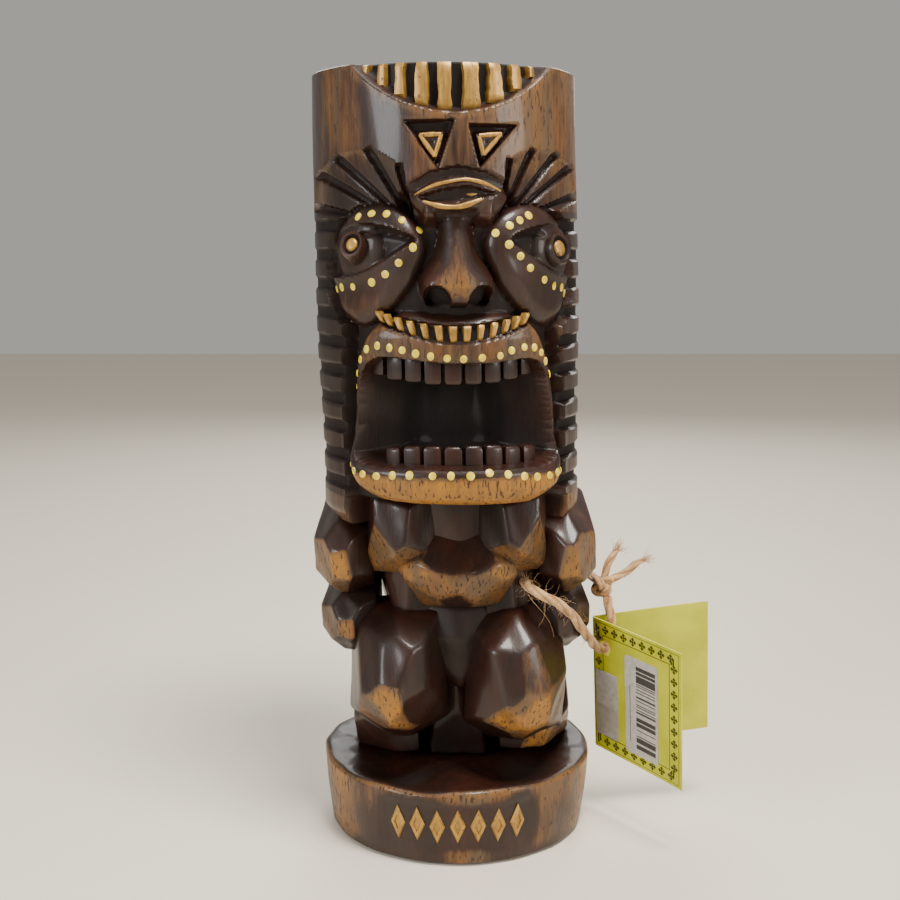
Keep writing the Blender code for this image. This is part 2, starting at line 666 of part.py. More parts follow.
def twine(group, tag_frame):
    """One length of twine: round the arm, through the gap and the tag's hole, and knotted beside the arm."""
    jute = material("jute", (0.46, 0.27, 0.12), 0.9)
    hole = tag_frame @ Vector((HOLE_FROM_FOLD, 0, -HOLE_FROM_TOP))
    inward = (tag_frame.to_3x3() @ Vector((0, 1, 0))).normalized()
    reach = max(KNOT_RADII) + CLEARANCE
    up = Vector((0, 0, 1))
    start = KNOT_CENTRE + Vector((-0.15, 0.95, 0.10)).normalized() * reach
    end = KNOT_CENTRE + Vector((0.35, -0.40, -0.85)).normalized() * reach
    loop = [
        start,
        Vector((0.0380, 0.0085, 0.0665)),
        Vector((0.0335, 0.0150, 0.0690)),
        Vector((0.0262, 0.0187, 0.0708)),
        Vector((0.0191, 0.0175, 0.0716)),
        Vector((0.0172, 0.0095, 0.0718)),
        Vector((0.0168, 0.0010, 0.0718)),
        Vector((0.0168, -0.0080, 0.0715)),
        Vector((0.0176, -0.0150, 0.0708)),
        Vector((0.0205, -0.0215, 0.0697)),
        Vector((0.0262, -0.0222, 0.0668)),
        Vector((0.0305, -0.0207, 0.0628)),
        Vector((0.0338, -0.0172, 0.0575)),
        hole - inward * 0.0030 + up * 0.0012,
        hole + inward * 0.0006,
        hole + inward * 0.0022 + up * 0.0030,
        hole + inward * 0.0019 + up * 0.0086,
        end,
    ]
    cord("twine_loop", group, loop, TWINE_DIAMETER, jute)
    bpy.ops.mesh.primitive_uv_sphere_add(segments=16, ring_count=10, radius=1)
    knot = bpy.context.object
    knot.name = "twine_knot"
    knot.data.name = "twine_knot"
    knot.data.shade_smooth()
    knot.location = KNOT_CENTRE
    knot.scale = KNOT_RADII
    for owner in knot.users_collection:
        owner.objects.unlink(knot)
    group.objects.link(knot)
    knot.data.materials.append(jute)
    away = Vector((0.90, 0.25, 0.45)).normalized() * reach
    cord("twine_tail_long", group, [
        KNOT_CENTRE + away,
        Vector((0.0466, 0.0008, 0.0690)),
        Vector((0.0496, 0.0014, 0.0713)),
        Vector((0.0522, 0.0018, 0.0728)),
    ], TWINE_DIAMETER, jute)
    lift = Vector((0.30, 0.20, 0.95)).normalized() * reach
    cord("twine_tail_short", group, [
        KNOT_CENTRE + lift,
        Vector((0.0424, 0.0008, 0.0725)),
        Vector((0.0446, 0.0018, 0.0755)),
    ], TWINE_DIAMETER, jute)


for old in list(bpy.data.objects):
    bpy.data.objects.remove(old, do_unlink=True)

OBJECT_NAME = "tiki_figure"
parts = collection(OBJECT_NAME)
carving(parts)
twine(parts, tag(parts))
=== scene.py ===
import math

import bpy
import numpy as np
from mathutils import Euler, Matrix, Vector


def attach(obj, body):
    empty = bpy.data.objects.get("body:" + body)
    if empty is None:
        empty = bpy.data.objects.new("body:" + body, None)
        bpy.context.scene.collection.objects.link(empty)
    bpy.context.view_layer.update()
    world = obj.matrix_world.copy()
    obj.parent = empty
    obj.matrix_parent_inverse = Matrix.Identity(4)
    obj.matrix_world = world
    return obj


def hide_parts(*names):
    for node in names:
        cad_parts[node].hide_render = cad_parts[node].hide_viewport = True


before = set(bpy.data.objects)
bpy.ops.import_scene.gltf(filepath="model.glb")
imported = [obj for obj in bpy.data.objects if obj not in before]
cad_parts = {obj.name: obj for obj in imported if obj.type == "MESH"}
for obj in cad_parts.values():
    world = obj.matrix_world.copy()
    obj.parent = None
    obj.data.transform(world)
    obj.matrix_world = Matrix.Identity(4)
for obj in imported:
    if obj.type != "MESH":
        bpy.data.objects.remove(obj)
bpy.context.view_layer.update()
mm = 0.001


def makeStage():
    floorHalf = 1.6
    mesh = bpy.data.meshes.new("floor")
    mesh.from_pydata([(-floorHalf, -floorHalf, -0.0002), (floorHalf, -floorHalf, -0.0002),
                      (floorHalf, floorHalf, -0.0002), (-floorHalf, floorHalf, -0.0002)], [], [(0, 1, 2, 3)])
    floor = bpy.data.objects.new("floor", mesh)
    bpy.context.scene.collection.objects.link(floor)
    paint = bpy.data.materials.new("pale floor")
    paint.use_nodes = True
    shader = paint.node_tree.nodes["Principled BSDF"]
    shader.inputs["Base Color"].default_value = (0.80, 0.72, 0.60, 1.0)
    shader.inputs["Roughness"].default_value = 0.55
    mesh.materials.append(paint)

    camera = bpy.data.cameras.new("camera")
    camera.lens = 52.0
    camera.sensor_width = 36.0
    eye = bpy.data.objects.new("camera", camera)
    eye.location = (-0.002, -0.3525, 0.1591)
    eye.rotation_euler = (math.radians(81.11), 0.0, 0.0)
    camera.clip_start = 0.01
    bpy.context.scene.collection.objects.link(eye)
    bpy.context.scene.camera = eye

    lamps = {
        "overhead": {"place": (0.10, -0.16, 0.62), "aim": (0, 0, 0.11), "size": 0.20, "power": 5.4,
                     "tint": (1.0, 0.95, 0.88)},
        "leftWindow": {"place": (-0.55, -0.50, 0.34), "aim": (0, 0, 0.10), "size": 0.34, "power": 4.0,
                       "tint": (0.96, 0.98, 1.0)},
        "rightFill": {"place": (0.60, -0.42, 0.30), "aim": (0, 0, 0.10), "size": 0.30, "power": 2.8,
                      "tint": (1.0, 0.95, 0.88)},
        "behind": {"place": (0.05, 0.60, 0.50), "aim": (0, 0, 0.12), "size": 0.6, "power": 3.2,
                   "tint": (1.0, 0.98, 0.95)},
    }
    for name, lamp in lamps.items():
        light = bpy.data.lights.new(name, "AREA")
        light.shape = "DISK"
        light.size = lamp["size"]
        light.energy = lamp["power"]
        light.color = lamp["tint"]
        holder = bpy.data.objects.new(name, light)
        holder.location = lamp["place"]
        toward = Vector(lamp["aim"]) - Vector(lamp["place"])
        holder.rotation_euler = toward.to_track_quat("-Z", "Y").to_euler()
        bpy.context.scene.collection.objects.link(holder)
    world = bpy.data.worlds.new("soft room")
    world.use_nodes = True
    world.node_tree.nodes["Background"].inputs[0].default_value = (0.80, 0.78, 0.73, 1.0)
    world.node_tree.nodes["Background"].inputs[1].default_value = 0.50
    bpy.context.scene.world = world


makeStage()
print("stage and camera set")


class Wire:
    # one output socket; + - * / with wires or numbers add Math nodes
    def __init__(self, tree, socket=None):
        self.tree = tree
        self.socket = socket

    def node(self, kind, settings, inputs, output=0):
        made = self.tree.nodes.new("ShaderNode" + kind)
        for key, value in settings.items():
            if key == "stops":
                while len(made.color_ramp.elements) < len(value):
                    made.color_ramp.elements.new(0.5)
                for element, (place, colour) in zip(made.color_ramp.elements, value):
                    element.position = place
                    element.color = (*colour, 1.0)
            else:
                setattr(made, key, value)
        for key, value in inputs.items():
            if isinstance(value, Wire):
                self.tree.links.new(value.socket, made.inputs[key])
            else:
                made.inputs[key].default_value = value
        return Wire(self.tree, made.outputs[output])

    def math(self, operation, first, second=0.0):
        return self.node("Math", {"operation": operation}, {0: first, 1: second})

    def __add__(self, other):
        return self.math("ADD", self, other)

    __radd__ = __add__

    def __sub__(self, other):
        return self.math("SUBTRACT", self, other)

    def __rsub__(self, other):
        return self.math("SUBTRACT", other, self)

    def __mul__(self, other):
        return self.math("MULTIPLY", self, other)

    __rmul__ = __mul__

    def __truediv__(self, other):
        return self.math("DIVIDE", self, other)

    def rise(self, low, high):
        # smooth step from 0 at low to 1 at high
        return self.node("MapRange", {"interpolation_type": "SMOOTHSTEP"},
                         {"Value": self, "From Min": low, "From Max": high})

    def blendTo(self, first, second):
        # colour mix with this wire as the share of the second colour
        return self.node("Mix", {"data_type": "RGBA"}, {0: self, 6: first, 7: second}, 2)


def paint(code, alpha=1.0):
    # "#rrggbb" in display values to linear light
    parts = [int(code[i:i + 2], 16) / 255 for i in (1, 3, 5)]
    linear = [c / 12.92 if c <= 0.04045 else ((c + 0.055) / 1.055) ** 2.4 for c in parts]
    return (*linear, alpha)


def startMaterial(name, coat=0.0, coatRoughness=0.2, specular=0.5):
    made = bpy.data.materials.new(name)
    made.use_nodes = True
    shader = made.node_tree.nodes["Principled BSDF"]
    shader.inputs["Coat Weight"].default_value = coat
    shader.inputs["Coat Roughness"].default_value = coatRoughness
    shader.inputs["Specular IOR Level"].default_value = specular
    start = Wire(made.node_tree)
    where = start.node("TexCoord", {}, {}, "Object")
    return made, shader, start, where


def stretched(where, scale):
    return where.node("Mapping", {}, {"Vector": where, "Scale": scale})


def noise(where, scale, detail=3.0, rough=0.55, distortion=0.0):
    return where.node("TexNoise", {}, {"Vector": stretched(where, scale), "Scale": 1.0, "Detail": detail,
                                       "Roughness": rough, "Distortion": distortion})


def plug(shader, wire, name):
    wire.tree.links.new(wire.socket, shader.inputs[name])


def bumped(shader, height, strength, distance):
    plug(shader, height.node("Bump", {}, {"Height": height, "Strength": strength, "Distance": distance}),
         "Normal")


woodLook = {
    "darkest": "#0e0705", "dark": "#24140d", "reddish": "#33170d",
    "taupe": "#54432f", "tan": "#6b4722", "bright": "#98671f", "speck": "#24140b",
    "rubByGrain": 0.42, "rubByPatches": 0.40, "coat": 0.26,
    "grainScale": (760, 760, 46), "speckScale": (1500, 1500, 330),
}


def makeWood():
    made, shader, start, where = startMaterial("stained wood", coatRoughness=0.13, specular=0.3)
    # the per-vertex tone read here holds stain and rub wear, and in places also painted shade in recesses and
    # painted highlights
    wear = start.node("Attribute", {"attribute_name": "wear"}, {}, "Fac")
    grain = noise(where, woodLook["grainScale"], 5.0, 0.62)
    broad = noise(where, (95, 95, 38), 3.0, 0.6)
    fine = noise(where, (2600, 2600, 210), 3.0, 0.6)
    specks = noise(where, woodLook["speckScale"], 2.0, 0.5).rise(0.57, 0.65)
    rubAndPaintedLight = wear + (grain - 0.5) * woodLook["rubByGrain"] + (broad - 0.5) * woodLook["rubByPatches"]
    wornAndLit = rubAndPaintedLight.rise(0.34, 0.62)
    brightest = rubAndPaintedLight.rise(0.62, 0.98)
    stainAndShade = broad.rise(0.35, 0.7).blendTo(paint(woodLook["dark"]), paint(woodLook["reddish"]))
    # the lowest tone values, the deep recesses among them, take the darkest stain: partly real stain, partly
    # painted shade
    stainAndShade = wear.rise(-0.05, 0.14).blendTo(paint(woodLook["darkest"]), stainAndShade)
    stainAndShade = (grain.rise(0.35, 0.75) * 0.55).blendTo(stainAndShade, paint(woodLook["darkest"]))
    lit = brightest.blendTo(paint(woodLook["tan"]), paint(woodLook["bright"]))
    greyed = noise(where, (210, 210, 26), 3.0, 0.6).rise(0.38, 0.62) * (1 - brightest) * 0.85
    lit = greyed.blendTo(lit, paint(woodLook["taupe"]))
    colour = wornAndLit.blendTo(stainAndShade, lit)
    colour = (specks * wornAndLit * 0.82).blendTo(colour, paint(woodLook["speck"]))
    plug(shader, colour, "Base Color")
    hollow = 1 - wear.rise(-0.02, 0.12)
    plug(shader, 0.34 + 0.16 * fine + 0.12 * wornAndLit + 0.2 * specks * wornAndLit + 0.45 * hollow, "Roughness")
    plug(shader, woodLook["coat"] * (1 - 0.85 * hollow), "Coat Weight")
    bumped(shader, grain * 0.5 + fine * 0.35 - specks * wornAndLit * 0.7, 0.55, 0.00028)
    return made


goldLook = {"dull": "#8f6a2c", "bright": "#b98f42", "underneath": "#2c190d"}
dotLook = {"thin": "#c9ab12", "thick": "#eed93e"}


def makeGold():
    made, shader, _, where = startMaterial("gold paint", coat=0.25, coatRoughness=0.3)
    brushed = noise(where, (900, 900, 160), 4.0, 0.6)
    pits = noise(where, (1100, 1100, 520), 3.0, 0.65).rise(0.63, 0.69)
    chipped = noise(where, (330, 330, 330), 3.0, 0.6).rise(0.66, 0.72)
    colour = brushed.rise(0.3, 0.75).blendTo(paint(goldLook["dull"]), paint(goldLook["bright"]))
    gone = pits.math("MAXIMUM", pits * 0.85, chipped * 0.7)
    plug(shader, gone.blendTo(colour, paint(goldLook["underneath"])), "Base Color")
    plug(shader, 0.34 + 0.14 * brushed + 0.2 * gone, "Roughness")
    plug(shader, 0.45 * (1 - gone), "Metallic")
    bumped(shader, brushed * 0.4 - gone, 0.5, 0.0002)
    return made


def makeDotPaint():
    made, shader, _, where = startMaterial("yellow dot paint", coat=0.35, coatRoughness=0.2)
    thin = noise(where, (620, 620, 620), 3.0, 0.6)
    plug(shader, thin.rise(0.32, 0.68).blendTo(paint(dotLook["thin"]), paint(dotLook["thick"])), "Base Color")
    plug(shader, 0.32 + 0.15 * thin, "Roughness")
    bumped(shader, thin, 0.25, 0.0001)
    return made


wood = makeWood()
gold = makeGold()
dotPaint = makeDotPaint()
print("wood, gold and dot paint mixed")


def storeMesh(name, points, faces, material, body, attributes=None, smoothAngle=None):
    mesh = bpy.data.meshes.new(name)
    mesh.from_pydata(points.tolist(), [], faces)
    mesh.polygons.foreach_set("use_smooth", np.ones(len(mesh.polygons), bool))
    for key, values in (attributes or {}).items():
        stored = mesh.attributes.new(key, "FLOAT", "POINT")
        stored.data.foreach_set("value", np.asarray(values, np.float32).ravel())
    if smoothAngle:
        mesh.set_sharp_from_angle(angle=math.radians(smoothAngle))
    mesh.materials.append(material)
    mesh.update()
    piece = bpy.data.objects.new(name, mesh)
    bpy.context.scene.collection.objects.link(piece)
    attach(piece, body)
    return piece


def gridFaces(rows, columns, start=0, wrap=True):
    # quads of a rows x columns grid, facing out when columns run anticlockwise and rows run upwards
    row, column = np.meshgrid(np.arange(rows - 1), np.arange(columns if wrap else columns - 1), indexing="ij")
    after = (column + 1) % columns
    quads = np.stack([row * columns + column, row * columns + after,
                      (row + 1) * columns + after, (row + 1) * columns + column], -1)
    return quads.reshape(-1, 4) + start


def closedTube(rings):
    # points and faces of a rows x columns x 3 stack of rings, closed at both ends by a fan on each
    # ring's middle
    rows, columns = rings.shape[:2]
    points = np.concatenate([rings.reshape(-1, 3), rings[:1].mean(1), rings[-1:].mean(1)])
    here = np.arange(columns)
    after = (here + 1) % columns
    low = np.stack([after, here, np.full(columns, rows * columns)], -1)
    high = np.stack([here, after, np.full(columns, rows * columns + 1)], -1)
    high[:, :2] += (rows - 1) * columns
    return points, gridFaces(rows, columns).tolist() + low.tolist() + high.tolist()


def joined(parts):
    # several (points, faces) made one
    points, faces, start = [], [], 0
    for some, these in parts:
        points.append(some)
        faces += [[corner + start for corner in face] for face in these]
        start += len(some)
    return np.concatenate(points), faces


def rise(values, low, high):
    # smooth step from 0 at low to 1 at high
    share = np.clip((values - low) / (high - low), 0, 1)
    return share * share * (3 - 2 * share)


def segmentGap(px, pz, ax, az, bx, bz):
    # distance from each point to the segment a-b
    dx, dz = bx - ax, bz - az
    share = np.clip(((px - ax) * dx + (pz - az) * dz) / (dx * dx + dz * dz), 0, 1)
    return np.hypot(px - ax - share * dx, pz - az - share * dz)


def lineGap(px, pz, corners, closed=False):
    # distance to the nearest side of a line of corners
    ends = corners[1:] + corners[:1] if closed else corners[1:]
    gap = np.full(np.shape(px), 1e9)
    for (ax, az), (bx, bz) in zip(corners, ends):
        gap = np.minimum(gap, segmentGap(px, pz, ax, az, bx, bz))
    return gap


def outlineGap(px, pz, corners):
    # signed distance to a closed outline, negative inside it
    inside = np.zeros(np.shape(px), bool)
    for (ax, az), (bx, bz) in zip(corners, corners[1:] + corners[:1]):
        if az == bz:
            continue
        crosses = (az > pz) != (bz > pz)
        inside ^= crosses & (px < (bx - ax) * (pz - az) / (bz - az) + ax)
    gap = lineGap(px, pz, corners, True)
    return np.where(inside, -gap, gap)


def rounded(corners, rounds=3):
    # corner cutting: each pass replaces a corner by two points a quarter of the way along its sides
    points = np.array(corners, float)
    for _ in range(rounds):
        ahead = np.roll(points, -1, 0)
        points = np.stack([0.75 * points + 0.25 * ahead, 0.25 * points + 0.75 * ahead], 1).reshape(-1, 2)
    return [tuple(p) for p in points.tolist()]


twineSizes = {"diameter": 2.5 * mm, "strands": 3, "turnEvery": 6.2 * mm, "strandDepth": 0.15, "fuzz": 210}
tagPlace = {"corner": (0.0373, -0.0045, 0.0582), "tilt": (6.0, 3.5, -54.0), "opening": 66.0,
            "width": 34.0 * mm, "height": 39.0 * mm, "thickness": 0.4 * mm, "gap": 0.7 * mm,
            "holeRadius": 2.2 * mm, "holeFromFold": 5.0 * mm, "holeFromTop": 8.0 * mm}
tagFrame = Matrix.LocRotScale(Vector(tagPlace["corner"]),
                              Euler([math.radians(t) for t in tagPlace["tilt"]]), None)
knotCentre = Vector((0.0402, -0.0012, 0.0662))
knotReach = 3.7 * mm


def smoothLine(points, spacing):
    # Catmull-Rom curve through the points, resampled to even steps
    given = np.array([list(p) for p in points], float)
    ends = np.concatenate([[2 * given[0] - given[1]], given, [2 * given[-1] - given[-2]]])
    t = np.linspace(0, 1, 40, endpoint=False)[None, :, None]
    a, b, c, d = ends[:-3, None], ends[1:-2, None], ends[2:-1, None], ends[3:, None]
    fine = (0.5 * (2 * b + (c - a) * t + (2 * a - 5 * b + 4 * c - d) * t ** 2
                   + (3 * b - a - 3 * c + d) * t ** 3))
    fine = np.concatenate([fine.reshape(-1, 3), given[-1:]])
    walked = np.concatenate([[0], np.cumsum(np.linalg.norm(np.diff(fine, axis=0), axis=1))])
    even = np.linspace(0, walked[-1], max(3, round(walked[-1] / spacing) + 1))
    return np.stack([np.interp(even, walked, fine[:, axis]) for axis in range(3)], -1)


def carriedFrames(line):
    # unit tangents, and two normals carried along the line without twisting
    tangents = np.gradient(line, axis=0)
    tangents /= np.linalg.norm(tangents, axis=1, keepdims=True)
    normal = np.cross(tangents[0], (0.31, 0.27, 0.91))
    normals = []
    for tangent in tangents:
        normal = normal - tangent * (normal @ tangent)
        normal = normal / np.linalg.norm(normal)
        normals.append(normal)
    normals = np.array(normals)
    return tangents, normals, np.cross(tangents, normals)


def twistedTube(line, diameter, sides=30, swell=None):
    # radius = half the diameter less a dip between strands; the strands turn steadily along the line
    across, over = carriedFrames(line)[1:]
    step = np.linalg.norm(np.diff(line, axis=0), axis=1)
    walked = np.concatenate([[0], np.cumsum(step)])[:, None]
    around = np.linspace(0, 2 * math.pi, sides, endpoint=False)[None, :]
    phase = twineSizes["strands"] * (around - 2 * math.pi * walked / twineSizes["turnEvery"]
                                     / twineSizes["strands"])
    dip = (1 - np.abs(np.sin(phase / 2))) ** 1.4
    radius = diameter / 2 * (1.06 - 2 * twineSizes["strandDepth"] * dip)
    if swell is not None:
        radius = radius * swell[:, None]
    rings = line[:, None, :] + radius[..., None] * (np.cos(around)[..., None] * across[:, None, :]
                                                    + np.sin(around)[..., None] * over[:, None, :])
    points, faces = closedTube(rings)
    along = np.concatenate([np.broadcast_to(walked, radius.shape).ravel(), [0, walked[-1, 0]]])
    groove = np.concatenate([np.broadcast_to(dip, radius.shape).ravel(), [0.5, 0.5]])
    twist = np.concatenate([((phase / (2 * math.pi)) % 1.0).ravel(), [0, 0]])
    return points, faces, {"groove": groove, "along": along * 1000, "twist": twist}


def makeJute():
    made, shader, start, where = startMaterial("jute", specular=0.25)
    groove = start.node("Attribute", {"attribute_name": "groove"}, {}, "Fac")
    hair = noise(where, (1500, 1500, 1500), 4.0, 0.7)
    tone = noise(where, (260, 260, 260), 2.0, 0.5)
    colour = tone.rise(0.3, 0.7).blendTo(paint("#a97c4e"), paint("#d3ab78"))
    colour = (hair.rise(0.45, 0.7) * 0.6).blendTo(colour, paint("#e2c394"))
    # the dips between the strands are darkened: painted shade
    colour = (groove * 0.75).blendTo(colour, paint("#6d4524"))
    plug(shader, colour, "Base Color")
    shader.inputs["Roughness"].default_value = 0.85
    shader.inputs["Sheen Weight"].default_value = 0.25
    bumped(shader, hair, 0.8, 0.0003)
    return made


jute = makeJute()


def loopLine():
    hole = tagFrame @ Vector((tagPlace["holeFromFold"], 0, -tagPlace["holeFromTop"]))
    inward = (tagFrame.to_3x3() @ Vector((0, 1, 0))).normalized()
    up = Vector((0, 0, 1))
    start = knotCentre + Vector((-0.15, 0.95, 0.10)).normalized() * knotReach
    end = knotCentre + Vector((0.35, -0.40, -0.85)).normalized() * knotReach
    route = [
        start, (0.0380, 0.0085, 0.0665), (0.0335, 0.0150, 0.0690), (0.0262, 0.0187, 0.0708),
        (0.0191, 0.0175, 0.0716), (0.0172, 0.0095, 0.0718), (0.0168, 0.0010, 0.0718),
        (0.0168, -0.0080, 0.0715), (0.0176, -0.0150, 0.0708), (0.0205, -0.0215, 0.0697),
        (0.0262, -0.0222, 0.0668), (0.0305, -0.0207, 0.0628), (0.0338, -0.0172, 0.0575),
        hole - inward * 0.0030 + up * 0.0012, hole + inward * 0.0006,
        hole + inward * 0.0022 + up * 0.0030, hole + inward * 0.0019 + up * 0.0086, end,
    ]
    return smoothLine(route, 0.45 * mm)


def knotLine():
    # trefoil: x = sin t + 2 sin 2t, y = cos t - 2 cos 2t, z = -1.35 sin 3t, squeezed to the knot's size
    t = np.linspace(0, 2 * math.pi * 0.985, 150)
    shape = np.stack([np.sin(t) + 2 * np.sin(2 * t), np.cos(t) - 2 * np.cos(2 * t),
                      -1.35 * np.sin(3 * t)], -1)
    shape = shape * np.array([0.82, 0.80, 1.25]) * mm
    turn = np.array(Euler((math.radians(70), math.radians(20), math.radians(25))).to_matrix())
    return shape @ turn.T + np.array(knotCentre)


def fibreBundle(starts, headings, lengths, curl, thickness, seed):
    # each fibre is a thin three-sided tube: start + heading * s + sideways curl that grows with s
    draw = np.random.default_rng(seed)
    count, steps = len(starts), 12
    s = np.linspace(0, 1, steps)[None, :, None]
    heading = headings / np.linalg.norm(headings, axis=1, keepdims=True)
    side = np.cross(heading, draw.normal(size=(count, 3)))
    side /= np.linalg.norm(side, axis=1, keepdims=True)
    over = np.cross(heading, side)
    wave = draw.uniform(0.8, 2.4, (count, 1, 1))
    phase = draw.uniform(0, 6.28, (count, 1, 1))
    reach = lengths[:, None, None]
    swing = curl * reach * draw.uniform(0.3, 1.0, (count, 1, 1))
    line = (starts[:, None] + heading[:, None] * s * reach
            + side[:, None] * swing * (np.sin(wave * 3.0 * s + phase) - np.sin(phase)) * s
            + over[:, None] * swing * (np.cos(wave * 2.6 * s + phase) - np.cos(phase)) * s)
    around = np.linspace(0, 2 * math.pi, 3, endpoint=False)
    ring = (np.cos(around)[None, None, :, None] * side[:, None, None]
            + np.sin(around)[None, None, :, None] * over[:, None, None])
    taper = (1 - 0.65 * s)[..., None] * thickness / 2
    tubes = line[:, :, None] + ring * taper
    return joined([closedTube(tube) for tube in tubes])


def makeTwine():
    line = loopLine()
    points, faces, looks = twistedTube(line, twineSizes["diameter"])
    loop = storeMesh("twineLoop", points, faces, jute, "figure", looks)
    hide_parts("twine_loop")

    points, faces, looks = twistedTube(knotLine(), 2.2 * mm, 20)
    knot = storeMesh("twineKnot", points, faces, jute, "figure", looks)
    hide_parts("twine_knot")

    away = Vector((0.90, 0.25, 0.45)).normalized()
    lift = Vector((0.30, 0.20, 0.95)).normalized()
    longLine = smoothLine([knotCentre + away * 0.0018, knotCentre + away * knotReach,
                           (0.0466, 0.0008, 0.0690), (0.0496, 0.0014, 0.0713),
                           (0.0522, 0.0018, 0.0728)], 0.4 * mm)
    shortLine = smoothLine([knotCentre + lift * 0.0018, knotCentre + lift * knotReach,
                            (0.0424, 0.0008, 0.0725), (0.0446, 0.0018, 0.0755)], 0.4 * mm)
    for name, tail, node in (("twineTailLong", longLine, "twine_tail_long"),
                             ("twineTailShort", shortLine, "twine_tail_short")):
        swell = 1 - 0.35 * rise(np.linspace(0, 1, len(tail)), 0.72, 1.0)
        points, faces, looks = twistedTube(tail, 2.1 * mm, 24, swell)
        storeMesh(name, points, faces, jute, "figure", looks)
        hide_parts(node)

    draw = np.random.default_rng(41)
    frays = []
    for tail, seed in ((longLine, 5), (shortLine, 6)):
        count = 46
        heading = (tail[-1] - tail[-4]) / np.linalg.norm(tail[-1] - tail[-4])
        starts = tail[-3] + draw.normal(size=(count, 3)) * 0.34 * mm
        frays.append(fibreBundle(starts, heading + draw.normal(size=(count, 3)) * 0.30,
                                 draw.uniform(1.8, 4.2, count) * mm, 0.22, 0.17 * mm, seed))
    points, faces = joined(frays)
    fray = storeMesh("twineFrayedEnds", points, faces, jute, "figure")

    tangents, across, over = carriedFrames(line)
    keepOff = slice(8, len(line) - 8)
    picks = draw.integers(keepOff.start, keepOff.stop, twineSizes["fuzz"])
    # thickest where it leaves the gap
    front = draw.normal(len(line) * 0.52, len(line) * 0.035, 70).astype(int)
    picks = np.clip(np.concatenate([picks, front]), 4, len(line) - 5)
    turn = draw.uniform(0, 6.28, len(picks))[:, None]
    outward = np.cos(turn) * across[picks] + np.sin(turn) * over[picks]
    starts = line[picks] + outward * 1.05 * mm
    headings = (outward * 0.75 + tangents[picks] * draw.uniform(-1.3, 1.3, (len(picks), 1))
                + draw.normal(size=(len(picks), 3)) * 0.25)
    fuzz = fibreBundle(starts, headings, draw.uniform(1.0, 4.0, len(picks)) * mm, 0.55, 0.10 * mm, 8)
    strays = fibreBundle(np.array([[0.0185, -0.0215, 0.0690], [0.0200, -0.0225, 0.0690],
                                   [0.0230, -0.0225, 0.0675]]),
                         np.array([[0.62, -0.30, -1.0], [0.95, -0.20, -0.12], [-0.25, -0.5, -1.0]]),
                         np.array([13.0, 11.0, 7.0]) * mm, 0.16, 0.13 * mm, 3)
    points, faces = joined([fuzz, strays])
    hairs = storeMesh("twineStrayFibres", points, faces, jute, "figure")


makeTwine()


log = {"base": 21.0, "chin": 87.5, "top": 203.0, "foot": 37.3, "crown": 34.3, "lean": 0.0215, "turn": 4.0}


def logRadius(z):
    share = np.clip((z - log["base"]) / (log["top"] - log["base"]), 0, 1)
    return log["foot"] + (log["crown"] - log["foot"]) * share


def leaned(x, y, z):
    # millimetres to metres, drifting sideways with height as the log does
    return np.stack([x - log["lean"] * np.maximum(0, z - log["base"]), y, z], -1) * mm


def onLog(angle, radius, z):
    # a point at an angle (degrees) from the face's axis, a radius and a height
    around = np.radians(angle + log["turn"])
    return leaned(radius * np.sin(around), -radius * np.cos(around), z)


headSizes = {
    # pairs are for the left and the right side of the head
    "combSideDepth": (0.6, 1.0), "combSideWearAndPaintedLight": (0.06, 0.36), "fieldDeep": 5.0, "pocketDeep": 3.2,
    "combFrom": 52.0, "combTo": 128.0, "combFirst": 95.0, "combPitch": 7.3, "combCount": 10,
    "combTall": 3.1, "combDeep": 2.5,
    "scoopDrop": 12.2, "scoopHalf": 25.0, "scoopDeep": 4.2,
    "mouthDeep": 18.5,
}
fanCorners = {-1: (-10.8, 161.8), 1: (12.6, 162.8)}
fanTips = {-1: [(-13.4, 178.3), (-20.9, 182.4), (-28.9, 181.0), (-33.4, 177.2), (-34.4, 169.0)],
           1: [(13.9, 179.8), (20.0, 182.4), (27.0, 181.8), (31.6, 179.0), (33.6, 171.9)]}
eyeMass = [(-12.5, 160), (-18, 166), (-28, 169), (-40, 169.8), (-52, 167.8), (-60.5, 162.5), (-65, 155),
           (-65, 147), (-60, 142), (-49, 138.5), (-36, 140.5), (-25, 146), (-16, 153)]
eyeOpening = [(-15.5, 160.8), (-23, 163.0), (-33, 164.4), (-45, 164.8), (-57, 162.5), (-64, 157),
              (-66, 151.5), (-56, 151.6), (-46, 152.2), (-37, 153.8), (-28, 156.6), (-20.5, 159.3)]
muzzle = [(-19.3, 141.6), (-22.7, 138.4), (-25.4, 133), (-26.6, 126), (-27.3, 115), (-28.0, 108),
          (-27.8, 101.8), (-24.8, 97.6), (-18.9, 95.2), (-2.8, 95.2), (14.3, 94.6), (19, 94.8),
          (25.7, 98.0), (27.2, 102.7), (27.0, 110), (26.4, 120), (24.6, 131), (21.0, 140.6),
          (14, 143.2), (0, 142), (-14, 143.4)]
mouth = [(-23.0, 130.2), (-19.8, 132.4), (-12.2, 131.6), (0, 130.4), (10.6, 130.8), (19.2, 131.9),
         (22.6, 129.5), (24.2, 122), (25.8, 112), (26.0, 104.3), (4.8, 104.5), (-10.9, 104.7),
         (-26.4, 104.6), (-26.2, 112), (-25.7, 121), (-24.6, 127.3)]
leftEye = [(-11.7, 188.8), (0.2, 189.2), (-4.0, 177.6)]
rightEye = [(3.8, 188.0), (16.1, 188.2), (6.4, 177.9)]
leftPupilTriangle = [(-8.8, 185.9), (-2.4, 186.1), (-4.5, 179.6)]
rightPupilTriangle = [(5.7, 185.7), (12.6, 186.4), (6.9, 180.1)]


def bandLow(x):
    return 135.7 + 4.6 * (x / 19.0) ** 2


def bandHigh(x):
    return 139.9 + 3.4 * (x / 19.0) ** 2


